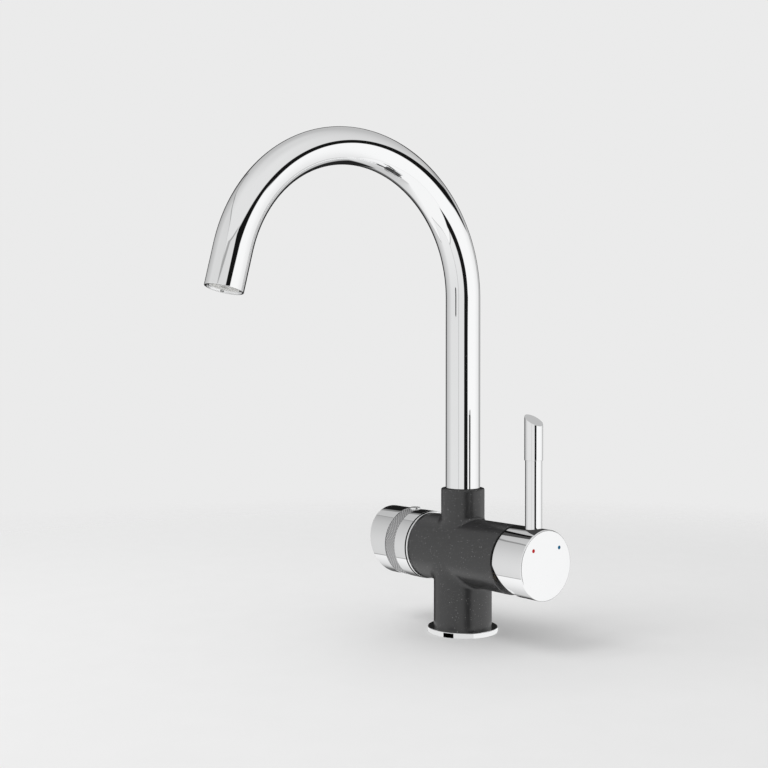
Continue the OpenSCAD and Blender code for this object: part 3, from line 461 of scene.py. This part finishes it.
# Outlet sleeve
# A short turned brass sleeve, chrome plated. It is screwed into the end of the spout, a little way in, and holds the
# white jet insert.
SLEEVE_IN, SLEEVE_OUT, SLEEVE_LOW, SLEEVE_TOP, SLEEVE_EDGE = 9.48, 11.26, 0.8, 9.8, 0.25
UP_OUTLET = (-TIP_LINE, Vector((1, 0, 0)))
sleeve = turned("chrome_outlet_sleeve", [
    (SLEEVE_IN, SLEEVE_LOW, SLEEVE_EDGE), (SLEEVE_OUT, SLEEVE_LOW, SLEEVE_EDGE), (SLEEVE_OUT, SLEEVE_TOP),
    (SLEEVE_IN, SLEEVE_TOP)], OUTLET, UP_OUTLET, TUBE_STEPS)
fit(sleeve, "spout", "chrome", CHROME, "aerator_sleeve")


# Screws, pin, spindle and clip
# Small stainless steel pieces: the screw that holds the spout, the lever's spindle with its pin, the set screws and
# the filter valve's clip. They are turned or bent, and left bare.
def stainless():
    """Turned stainless steel with short fine scratches."""
    look, coords, shader = new_look("stainless")
    stretched = coords.node("Mapping", sockets={"Vector": coords, "Scale": (1, 1, 9)})
    lines = grain(stretched, 0.9, 3)
    shader["Metallic"].default_value = 1
    drive(shader, base_color=lines.tint((0.50, 0.50, 0.51), (0.64, 0.64, 0.65)), roughness=lines * 0.2 + 0.2,
          normal=coords.node("Bump", sockets={"Height": lines, "Strength": 0.1, "Distance": 0.02 * MM}))
    return look


dress(stainless(), "spout_screw", "spindle_pin", "lever_spindle", "lever_set_screw", "valve_clip", "knob_set_screw")


# Mixing cartridge and valve discs
# White plastic housing and base, a blue carrier that turns with the lever, and lapped ceramic discs that slide on
# each other, here and in the filter valve.
def lapped_ceramic():
    """Polished white alumina with a very fine mottle."""
    look, coords, shader = new_look("lapped_ceramic")
    mottle = grain(coords, 0.6, 4)
    shader["Coat Weight"].default_value = 0.3
    drive(shader, base_color=mottle.tint((0.80, 0.80, 0.78), (0.90, 0.90, 0.88)), roughness=mottle * 0.08 + 0.1)
    return look


dress(WHITE, "cartridge_base", "cartridge_housing", "disc_driver")
dress(moulded_plastic("blue_acetal", (0.045, 0.11, 0.36), (0.07, 0.16, 0.46), 0.35), "cartridge_carrier")
dress(lapped_ceramic(), "fixed_disc", "moving_disc", "valve_fixed_disc", "valve_moving_disc")


# Lever cap
# A turned and chrome plated cap on the spindle, hollow where it goes over the cartridge. Its inner end is cut back
# below the axis, so that it clears the barrel as the lever tips, and two small dots are let into its flat end.
CAP_R, CAP_X, CAP_END, CAP_HOLLOW, CAP_BORE = 24.2, 55.2, 82.8, 8, 21.0
CAP_FOOT_EDGE, CAP_EDGE, CAP_RINGS, CAP_STEPS, CAP_KEY_TOP = 0.3, 1.1, (62, 66.5, 75.5), 288, 59.8
RELIEF, RELIEF_BLOCK = radians(25), 80
ROD_X, ROD_R, ROD_Z, ROD_STEPS, ROD_SEAT_STEPS = 70.8, 5.75, 82.1, 128, 96
TENON_R, TENON_L = 3.0, 9.0
FIT, END_GAP = 0.02, 0.3
DOT_R, DOT_Y, DOT_Z, DOT_DEEP, DOT_EDGE, DOT_STEPS = 1.3, 12.5, 69.9, 1, 0.12, 48
cap = turned("chrome_lever_cap", [
    (0, CAP_X + CAP_HOLLOW), (CAP_BORE, CAP_X + CAP_HOLLOW), (CAP_BORE, CAP_X), (CAP_R, CAP_X, CAP_FOOT_EDGE),
    *((CAP_R, x) for x in CAP_RINGS), (CAP_R, CAP_END, CAP_EDGE), (0, CAP_END)], on_axis, AXES["X"], CAP_STEPS)
relief = start("relief", bpy.ops.mesh.primitive_cube_add, size=RELIEF_BLOCK * MM,
               location=Vector((CAP_X - FIT - RELIEF_BLOCK / 2, 0, AXIS_Z - RELIEF_BLOCK / 2)) * MM)
bpy.ops.transform.rotate(value=RELIEF, orient_axis="Y", center_override=Vector((CAP_X, 0, AXIS_Z)) * MM)
combine(cap, "DIFFERENCE", relief)
on_rod = (ROD_X, 0, 0)
rod_floor = ROD_Z - TENON_L - END_GAP
combine(cap, "DIFFERENCE", turned("rod_seat", [
    (0, rod_floor), (TENON_R + FIT, rod_floor), (TENON_R + FIT, ROD_Z), (ROD_R + FIT, ROD_Z),
    (ROD_R + FIT, ROD_Z + OVER), (0, ROD_Z + OVER)], on_rod, steps=ROD_SEAT_STEPS))
combine(cap, "DIFFERENCE", solid_bar("screw_hole", KEY_R, AXIS_Z - CAP_R - OVER, CAP_KEY_TOP, "Z", on_rod, KEY_STEPS))
for side in (-1, 1):
    combine(cap, "DIFFERENCE", solid_bar("dot_hole", DOT_R + FIT, CAP_END - DOT_DEEP, CAP_END + OVER, "X",
                                         (0, side * DOT_Y, DOT_Z), DOT_STEPS))
fit(cap, "lever", "chrome", CHROME, "lever_cap")


def enamel(name, low, high):
    """Glossy enamel, a little uneven in depth."""
    look, coords, shader = new_look(name)
    depth = grain(coords, 0.7, 3)
    shader["Specular IOR Level"].default_value = 0.15
    drive(shader, base_color=depth.tint(low, high), roughness=depth * 0.1 + 0.35)
    return look


for name, side, node, slot, low, high in (
        ("hot_dot_enamel", -1, "hot_dot", "hot_red", (0.58, 0.008, 0.010), (0.68, 0.014, 0.018)),
        ("cold_dot_enamel", 1, "cold_dot", "cold_blue", (0.0, 0.13, 0.26), (0.001, 0.165, 0.32))):
    dot = turned(name, [(0, CAP_END - DOT_DEEP), (DOT_R, CAP_END - DOT_DEEP), (DOT_R, CAP_END - FIT, DOT_EDGE),
                        (0, CAP_END - FIT)], (0, side * DOT_Y, DOT_Z), AXES["X"], DOT_STEPS)
    fit(dot, "lever", slot, enamel(name, low, high), node)


# Lever rod and grip
# A plain chromed rod stands on the cap, and a slightly thicker grip with an oblique end is screwed to its top.
# The grip's foot has a fine rounded edge that catches the light.
GRIP_R, GRIP_Z, GRIP_TOP, GRIP_CUT, GRIP_EDGE = 6.3, 129.0, 160.2, radians(31), 0.3
CUT_EDGE, CUT_STEPS = 0.22, 2
rod = turned("chrome_lever_rod", [
    (0, ROD_Z - TENON_L), (TENON_R, ROD_Z - TENON_L), (TENON_R, ROD_Z), (ROD_R, ROD_Z), (ROD_R, GRIP_Z),
    (TENON_R, GRIP_Z), (TENON_R, GRIP_Z + TENON_L), (0, GRIP_Z + TENON_L)], on_rod, steps=ROD_STEPS)
fit(rod, "lever", "chrome", CHROME, "lever_rod")
grip_floor = GRIP_Z + TENON_L + END_GAP
grip = turned("chrome_lever_grip", [
    (0, grip_floor), (TENON_R + FIT, grip_floor), (TENON_R + FIT, GRIP_Z), (GRIP_R, GRIP_Z, GRIP_EDGE),
    (GRIP_R, GRIP_TOP + OVER), (0, GRIP_TOP + OVER)], on_rod, steps=ROD_STEPS)
CUT_PLACE, CUT_LINE = Vector((ROD_X - GRIP_R, 0, GRIP_TOP)), Vector((sin(GRIP_CUT), 0, cos(GRIP_CUT)))
bpy.ops.mesh.select_all(action="SELECT")
bpy.ops.mesh.bisect(plane_co=CUT_PLACE * MM, plane_no=CUT_LINE, use_fill=True, clear_outer=True)
soften(lambda place: abs((place - CUT_PLACE).dot(CUT_LINE)) < SAME, CUT_EDGE, CUT_STEPS)
fit(grip, "lever", "chrome", CHROME, "lever_grip")


# Filter trim ring
# A thin turned brass ring, chrome plated and pushed over the end of the barrel. It shows as a bright line between
# the coat and the knob.
TRIM_R, TRIM_T, TRIM_LIP, TRIM_LIP_EDGE, TRIM_EDGE = 25.2, 1.0, 0.5, 0.3, 0.2
trim_in, trim_seat = VALVE_R + FIT, BARREL_R + FIT
trim = turned("chrome_trim_ring", [
    (trim_in, BARREL_LEFT), (trim_seat, BARREL_LEFT), (trim_seat, BARREL_LEFT + TRIM_LIP),
    (TRIM_R, BARREL_LEFT + TRIM_LIP, TRIM_LIP_EDGE), (TRIM_R, BARREL_LEFT - TRIM_T, TRIM_EDGE),
    (trim_in, BARREL_LEFT - TRIM_T)], on_axis, AXES["X"])
fit(trim, "tap_body", "chrome", CHROME, "filter_trim_ring")


# Filter knob
# A turned cup, chrome plated, on the valve's splined spindle. Its end is cut at a slant, longest at the top, and a
# shallow band round it takes the knurl. A hole below lets a key reach the set screw.
KNOB_R, KNOB_X, KNOB_END, KNOB_SLANT, KNOB_WALL, KNOB_FLOOR = 25.4, -35.9, -76.7, radians(12), 3.2, 3.0
KNOB_EDGE, SLANT_EDGE, KNOB_STEPS = 0.15, 0.25, 256
BAND_X, BAND_END, BAND_DEPTH, BAND_EDGE, BAND_END_EDGE = -48.25, -59.25, 0.4, 0.35, 0.1
HUB_R, HUB_X, SPLINE_R = 9.0, -45.1, 4.02
PEG_SHANK = 1.95
BAND_MID = (BAND_X + BAND_END) / 2
knob_rake = KNOB_R * tan(KNOB_SLANT)
knob_wall_r, knob_floor_x, band_r = KNOB_R - KNOB_WALL, KNOB_END + knob_rake + KNOB_FLOOR, KNOB_R - BAND_DEPTH
spline_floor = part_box("valve_spindle")[0].x / MM - END_GAP
knob_past = KNOB_END - knob_rake - OVER
knob = turned("chrome_filter_knob", [
    (0, knob_past), (KNOB_R, knob_past), (KNOB_R, BAND_END, BAND_END_EDGE), (band_r, BAND_END), (band_r, BAND_X),
    (KNOB_R, BAND_X, BAND_EDGE), (KNOB_R, KNOB_X, KNOB_EDGE), (knob_wall_r, KNOB_X), (knob_wall_r, knob_floor_x),
    (HUB_R, knob_floor_x), (HUB_R, HUB_X), (SPLINE_R, HUB_X), (SPLINE_R, spline_floor), (0, spline_floor)],
    on_axis, AXES["X"], KNOB_STEPS)
END_PLACE, END_LINE = Vector((KNOB_END, 0, AXIS_Z)), Vector((-cos(KNOB_SLANT), 0, -sin(KNOB_SLANT)))
bpy.ops.mesh.select_all(action="SELECT")
bpy.ops.mesh.bisect(plane_co=END_PLACE * MM, plane_no=END_LINE, use_fill=True, clear_outer=True)
soften(lambda place: abs((place - END_PLACE).dot(END_LINE)) < SAME, SLANT_EDGE, CUT_STEPS)
PEG_FOOT = (BAND_MID, 0, AXIS_Z)
combine(knob, "DIFFERENCE", solid_bar("key_hole", KEY_R, -KNOB_R - OVER, OVER - knob_wall_r, "Z", PEG_FOOT,
                                      KEY_STEPS))
combine(knob, "DIFFERENCE", solid_bar("peg_hole", PEG_SHANK + FIT, knob_wall_r - OVER, KNOB_R + OVER, "Z", PEG_FOOT,
                                      KEY_STEPS))
# The knob's end face in the gap to the trim ring gets painted shade.
fit(knob, "knob", "chrome", chrome_plate("knob_chrome", KNOB_X), "filter_knob")


# Knurl
# The fine diamond knurl is rolled into the knob's band. Squares round the band are poked, their old edges dissolved
# to leave diamonds, and each diamond's middle is then drawn up to a point.
KNURL_ROUND, KNURL_ROWS, KNURL_H, KNURL_FOOT, KNURL_SEAT, KNURL_GAP = 68, 5, 0.33, 0.05, 0.01, 0.05
knurl_r = band_r + KNURL_FOOT


def knurled_chrome():
    """Chrome on sharp points, with painted shade that darkens the hollows between them."""
    look, coords, shader = new_look("knurled_chrome")
    place = coords.node("SeparateXYZ", sockets={0: coords})
    side, height = place.other(1), place.other(2) - AXIS_Z * MM
    crest = (side * side + height * height).math("SQRT").fade(knurl_r * MM, (knurl_r + KNURL_H) * MM)
    shader["Metallic"].default_value = 1
    # Painted shade: the colour darkens from the points down into the hollows.
    drive(shader, base_color=crest.tint((0.32, 0.32, 0.325), (1.0, 1.0, 1.0)), roughness=0.30 - crest * 0.12)
    return look


row_w = (BAND_X - BAND_END - 2 * KNURL_GAP) / KNURL_ROWS
knurl = start("chrome_knurl_band", bpy.ops.mesh.primitive_circle_add, vertices=KNURL_ROUND, radius=knurl_r * MM,
              rotation=(0, tau / 4, 0), location=((BAND_END + KNURL_GAP) * MM, 0, AXIS_Z * MM))
bpy.ops.object.mode_set(mode="OBJECT")
bpy.ops.object.transform_apply(location=True, rotation=True)
bpy.ops.object.mode_set(mode="EDIT")
bpy.ops.mesh.select_all(action="SELECT")
for _ in range(KNURL_ROWS):
    bpy.ops.mesh.extrude_region_move(TRANSFORM_OT_translate={"value": (row_w * MM, 0, 0)})
close_up()
mesh = bmesh.from_edit_mesh(knurl.data)
squares = [(edge.verts[0].index, edge.verts[1].index) for edge in mesh.edges if len(edge.link_faces) == 2]
bpy.ops.mesh.select_all(action="SELECT")
bpy.ops.mesh.poke()
bpy.ops.mesh.select_mode(type="EDGE")
bpy.ops.mesh.select_all(action="DESELECT")
mesh = bmesh.from_edit_mesh(knurl.data)
mesh.verts.ensure_lookup_table()
for one, other in squares:
    mesh.edges.get((mesh.verts[one], mesh.verts[other])).select_set(True)
bmesh.update_edit_mesh(knurl.data)
bpy.ops.mesh.dissolve_edges(use_verts=False)
bpy.ops.mesh.select_mode(type="FACE")
bpy.ops.mesh.select_all(action="DESELECT")
mesh = bmesh.from_edit_mesh(knurl.data)
for face in mesh.faces:
    face.select_set(len(face.verts) == 4)
bmesh.update_edit_mesh(knurl.data)
bpy.ops.mesh.poke(offset=KNURL_H * MM)
bpy.ops.mesh.select_mode(type="VERT")
bpy.ops.mesh.select_all(action="DESELECT")
bpy.ops.mesh.select_non_manifold()
bpy.ops.mesh.extrude_region_move()
inward = (band_r + KNURL_SEAT) / knurl_r
bpy.ops.transform.resize(value=(1, inward, inward), center_override=(0, 0, AXIS_Z * MM))
bpy.ops.mesh.bridge_edge_loops()
close_up()
fit(knurl, "knob", "chrome", knurled_chrome(), crease=10)


# Knob peg
# A small domed peg, turned and chrome plated. Its shank is pushed into the band, and it shows the thumb where the
# knob stands.
PEG_R, PEG_TOP, PEG_EDGE, PEG_STEPS = 3.9, 26.6, 0.8, 96
peg = turned("chrome_knob_peg", [
    (0, knob_wall_r), (PEG_SHANK, knob_wall_r), (PEG_SHANK, band_r), (PEG_R, band_r), (PEG_R, PEG_TOP, PEG_EDGE),
    (0, PEG_TOP)], PEG_FOOT, steps=PEG_STEPS)
fit(peg, "knob", "chrome", CHROME, "knob_peg")


# Studio
# A pale floor under a plain soft light. The room that the chrome shows is light grey, with a white panel and its
# dark frame to the right of the camera, and darker behind the tap. A few glowing round cards that only mirrors show
# are painted reflections: they make chrome dark where it is mirrored in chrome, and give the base ring a pale
# reflection with one dark sector.
FLOOR_R, FLOOR_FADE, FLOOR_DROP, FLOOR_STEPS = 0.9, 0.35, 0.2, 128
BACKGROUND, AMBIENT = 0.83, 0.78


def let_through(look, coords, share):
    """Makes a look clear by a share."""
    main = Shade(coords.tree, look.node_tree.nodes["Principled BSDF"].outputs[0])
    mixed = coords.node("MixShader", sockets={0: share, 1: main, 2: coords.node("BsdfTransparent")})
    coords.tree.links.new(mixed.socket, look.node_tree.nodes["Material Output"].inputs[0])


def pale_floor():
    """Matt pale floor that fades out towards its rim, and that mirrors look through to the room."""
    look, coords, shader = new_look("pale_floor")
    place = coords.node("SeparateXYZ", sockets={0: coords})
    across = place.other(1)
    rim = (place * place + across * across).math("SQRT").fade(FLOOR_FADE, FLOOR_R)
    shader["Specular IOR Level"].default_value = 0
    drive(shader, base_color=grain(coords, 30).tint((0.80, 0.80, 0.80), (0.82, 0.82, 0.82)),
          roughness=grain(coords, 4) * 0.1 + 0.8)
    let_through(look, coords, rim.math("MAXIMUM", coords.node("LightPath", output="Is Glossy Ray")))
    return look


floor = start("studio_floor", bpy.ops.mesh.primitive_circle_add, vertices=FLOOR_STEPS, radius=FLOOR_R,
              fill_type="NGON", location=(0, 0, -FLOOR_DROP * MM))
bpy.ops.mesh.inset(thickness=FLOOR_R - FLOOR_FADE)
bpy.ops.object.mode_set(mode="OBJECT")
floor.data.materials.append(pale_floor())
floor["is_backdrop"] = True

# The room round the tap is worked out from the way that a ray leaves, in degrees: turn from the camera's side to the
# right, and rise from level.
VIEW_TURN, VIEW_DROP = radians(51.29), radians(0.70)
DEGREES = 360 / tau
world = bpy.data.worlds.new("studio_room")
bpy.context.scene.world = world
world.use_nodes = True
world.node_tree.nodes.clear()
way = Shade(world.node_tree).node("TexCoord")
way_x = way.node("SeparateXYZ", sockets={0: way})
way_y, way_z = way_x.other(1), way_x.other(2)
toward = way_x * sin(VIEW_TURN) - way_y * cos(VIEW_TURN)
right = way_x * cos(VIEW_TURN) + way_y * sin(VIEW_TURN)
turn = right.math("ARCTAN2", toward) * DEGREES
rise = way_z.math("ARCSINE") * DEGREES


def between(angle, low, high, soft):
    """1 where an angle lies between two, with soft edges."""
    return angle.fade(low - soft, low + soft) * angle.fade(high + soft, high - soft)


def part_way(one, other, share):
    """A tone between two, by the second's share."""
    return one + share * (other - one)


# Walls, ceiling and ground, with dark seams where they meet.
ABOVE_BEHIND, ABOVE_AHEAD, OVERHEAD = 0.53, 0.82, 0.72
WALL_BEHIND, WALL_LEFT, WALL_AHEAD = 0.42, 0.675, 0.805
GROUND_BEHIND, GROUND_AHEAD = 0.62, 1.0
CORNER, CORNER_LOW, CORNER_TOP = -33, -35, 26
SEAM_DARK, SIDE_DARK = 0.5, 0.3
spread = turn.math("ABSOLUTE")
above = part_way(ABOVE_BEHIND, ABOVE_AHEAD, spread.fade(165, 35))
above = part_way(above, OVERHEAD, rise.fade(55, 85))
wall = part_way(WALL_BEHIND, WALL_LEFT, turn.fade(-160, -100)) + turn.fade(-108, -84) * (WALL_AHEAD - WALL_LEFT)
wall = wall * (1 - rise * 0.003)
below = part_way(GROUND_BEHIND, GROUND_AHEAD, spread.fade(178, 100))
past = (CORNER - turn).math("MAXIMUM", 0)
wall_top = 25.5 + past.math("DIVIDE", past + 11) * 23.5 - turn.fade(-88, -120) * 4 - turn.fade(-133, -145) * 9
wall_foot = -32 - turn.fade(-98, -91) * (3 + past.math("DIVIDE", past + 9) * 22)
over_wall, over_ground = rise - wall_top, rise - wall_foot
room = part_way(wall, above, over_wall.fade(-0.6, 0.6))
room = part_way(room, below, over_ground.fade(0.6, -0.6))
seam = between(over_wall, -0.8, 0.8, 0.4).math("MAXIMUM", between(over_ground, -0.7, 0.7, 0.4))
corner = between(turn, CORNER - 1, CORNER + 1, 0.4) * between(rise, CORNER_LOW, CORNER_TOP, 1)
room = room * (1 - seam.math("MAXIMUM", corner) * turn.fade(18, 14) * SEAM_DARK)
room = room * (1 - turn.fade(120, 124) * between(rise, -44, 30, 2) * SIDE_DARK)

# White panel, its dark frame, and the darkness behind the tap.
PANEL_LEFT, PANEL_RIGHT, PANEL_TONE, PANEL_SHADE = 15, 121, 1.02, 0.14
FRAME_LEFT, FRAME_RIGHT, FRAME_DARK, SILL_DARK = 20, 122, 0.99, 0.16
POST_LOW, POST_TOP = -38, 23
BEHIND_DARK, BEHIND_EASE = 0.97, 0.4
panel_top = 11.2 + turn.fade(38, 60) * 3.4 - turn.fade(62, 74) * 4.9 + turn.fade(76, 100) * 5.8
panel_foot = -35 - turn.fade(28, 75) * 18.5 + turn.fade(95, 125) * 5
frame_top = 24.1 + turn.fade(74, 94) * 2.9 - turn.fade(100, 122) * 1.8
post_left, post_right = 4 + rise.fade(3, 18) * 14, 28 + rise.fade(1, 14) * 16
over_panel, over_foot = rise - panel_top, rise - panel_foot
panel = between(turn, PANEL_LEFT, PANEL_RIGHT, 0.8) * over_foot.fade(-0.6, 0.6) * over_panel.fade(0.7, -0.7)
room = part_way(room, PANEL_TONE - turn.fade(75, 120) * PANEL_SHADE, panel)
sill = between(over_foot, -0.7, 0.7, 0.4) * between(turn, PANEL_LEFT, PANEL_RIGHT, 1)
room = room * (1 - sill * SILL_DARK)
head = between(turn, FRAME_LEFT, FRAME_RIGHT, 0.8) * over_panel.fade(-0.7, 0.7) * (rise - frame_top).fade(0.7, -0.7)
post = (turn - post_left).fade(-0.8, 0.8) * (turn - post_right).fade(0.8, -0.8) * between(rise, POST_LOW, POST_TOP, 1)
room = room * (1 - head.math("MAXIMUM", post) * FRAME_DARK)
behind = turn.fade(146, 154) * rise.fade(-45, -41)
behind = behind.math("MAXIMUM", turn.fade(-137, -153) * rise.fade(-40, -33)) * rise.fade(34, 30)
room = room * (1 - behind * (BEHIND_DARK - rise.fade(-12, -34) * turn.fade(10, -10) * BEHIND_EASE))
seen = way.node("LightPath", output="Is Camera Ray")
light = part_way(part_way(room, AMBIENT, seen.other("Is Diffuse Ray")), BACKGROUND, seen)
glow = way.node("Background", sockets={0: light})
way.tree.links.new(glow.socket, way.tree.nodes.new("ShaderNodeOutputWorld").inputs[0])


def card_look(name, tone):
    """Glowing card for a painted reflection, seen from its front alone. Its tone is a value, or a function of the
    angle round it.
    """
    look, coords, shader = new_look(name)
    place = coords.node("SeparateXYZ", sockets={0: coords})
    shader["Base Color"].default_value = (0, 0, 0, 1)
    shader["Specular IOR Level"].default_value = 0
    shader["Emission Strength"].default_value = 1
    if callable(tone):
        drive(shader, emission_color=tone(place.other(1).math("ARCTAN2", place) * DEGREES))
    else:
        shader["Emission Color"].default_value = (tone, tone, tone, 1)
    let_through(look, coords, coords.node("NewGeometry", output="Backfacing"))
    return look


def stand_card(name, radius, length, middle, tone, inward=False, lean=0, body=None):
    """A round card that only mirrors show, as a painted reflection. One that stands round a moving piece goes along
    with its body.
    """
    card = start(name, bpy.ops.mesh.primitive_cylinder_add, vertices=96, radius=radius * MM, depth=length * MM,
                 end_fill_type="NOTHING", location=Vector(middle) * MM, rotation=(lean, 0, 0))
    bpy.ops.mesh.select_all(action="SELECT")
    bpy.ops.mesh.normals_make_consistent(inside=inward)
    leave_editing()
    bpy.ops.object.transform_apply(location=True, rotation=True)
    card.data.materials.append(card_look(name, tone))
    card.visible_camera = card.visible_diffuse = card.visible_shadow = card.visible_transmission = False
    if body:
        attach(card, body)
    card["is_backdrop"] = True


def ring_painted_reflection(angle):
    """A painted reflection round the foot of the base ring: pale, with one dark sector and a brighter stretch."""
    return 0.84 - angle.fade(-83.2, -82.2) * 0.84 + angle.fade(-61.2, -60.2) * 0.78 + angle.fade(-22, -21) * 0.16


def riser_painted_reflection(angle):
    """A painted reflection of the spout's riser in the chrome round it: nearly black on the lever's side, dark
    elsewhere.
    """
    return 0.075 - between(angle, -2, 62, 3) * 0.073


# The tone of the painted dark reflections of the tip, rod and grip in the chrome that mirrors them.
PAINTED_DARK_REFLECTION = 0.055
# Each card below is a painted reflection, seen only in mirrors.
stand_card("ring_card", radius=32, length=6.4, middle=(0, 0, -FLOOR_DROP), tone=ring_painted_reflection, inward=True)
stand_card("riser_card", radius=TUBE_R + 0.4, length=82, middle=(0, 0, 144), tone=riser_painted_reflection)
stand_card("tip_card", radius=TUBE_R + 0.2, length=TIP_L, middle=OUTLET - TIP_LINE * TIP_L / 2, tone=PAINTED_DARK_REFLECTION,
           lean=BEND_SWEEP, body="spout")
stand_card("rod_card", radius=ROD_R + 0.15, length=47.9, middle=(ROD_X, 0, 105), tone=PAINTED_DARK_REFLECTION, body="lever")
stand_card("grip_card", radius=GRIP_R + 0.15, length=27, middle=(ROD_X, 0, 142.6), tone=PAINTED_DARK_REFLECTION, body="lever")

LAMP_PLACE, LAMP_AIM, LAMP_SIZE, LAMP_WATTS = Vector((-0.3, -0.9, 1.5)), Vector((0, -0.05, 0.12)), 0.9, 9
bpy.ops.object.light_add(type="AREA", location=LAMP_PLACE)
lamp = bpy.context.object
lamp.name = "soft_lamp"
lamp.data.shape, lamp.data.size = "DISK", LAMP_SIZE
lamp.data.energy = LAMP_WATTS
lamp.visible_glossy = False
lamp.rotation_euler = (LAMP_AIM - LAMP_PLACE).to_track_quat("-Z", "Y").to_euler()

CAMERA_PLACE = Vector((0.6024, -0.5565, 0.1903))
FOCAL_PX, PICTURE_PX, SENSOR = 1122.3, 768, 36
ahead = Vector((-sin(VIEW_TURN) * cos(VIEW_DROP), cos(VIEW_TURN) * cos(VIEW_DROP), -sin(VIEW_DROP)))
bpy.ops.object.camera_add(location=CAMERA_PLACE)
camera = bpy.context.object
camera.name = "photo_camera"
camera.data.sensor_width = SENSOR
camera.data.lens = FOCAL_PX / PICTURE_PX * SENSOR
camera.data.clip_start = 0.01
camera.rotation_euler = ahead.to_track_quat("-Z", "Y").to_euler()
bpy.context.scene.camera = camera
bpy.context.scene.view_settings.view_transform = "Standard"


# Size
# The box of the dressed tap, without the floor and the cards that only mirrors show.
low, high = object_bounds()
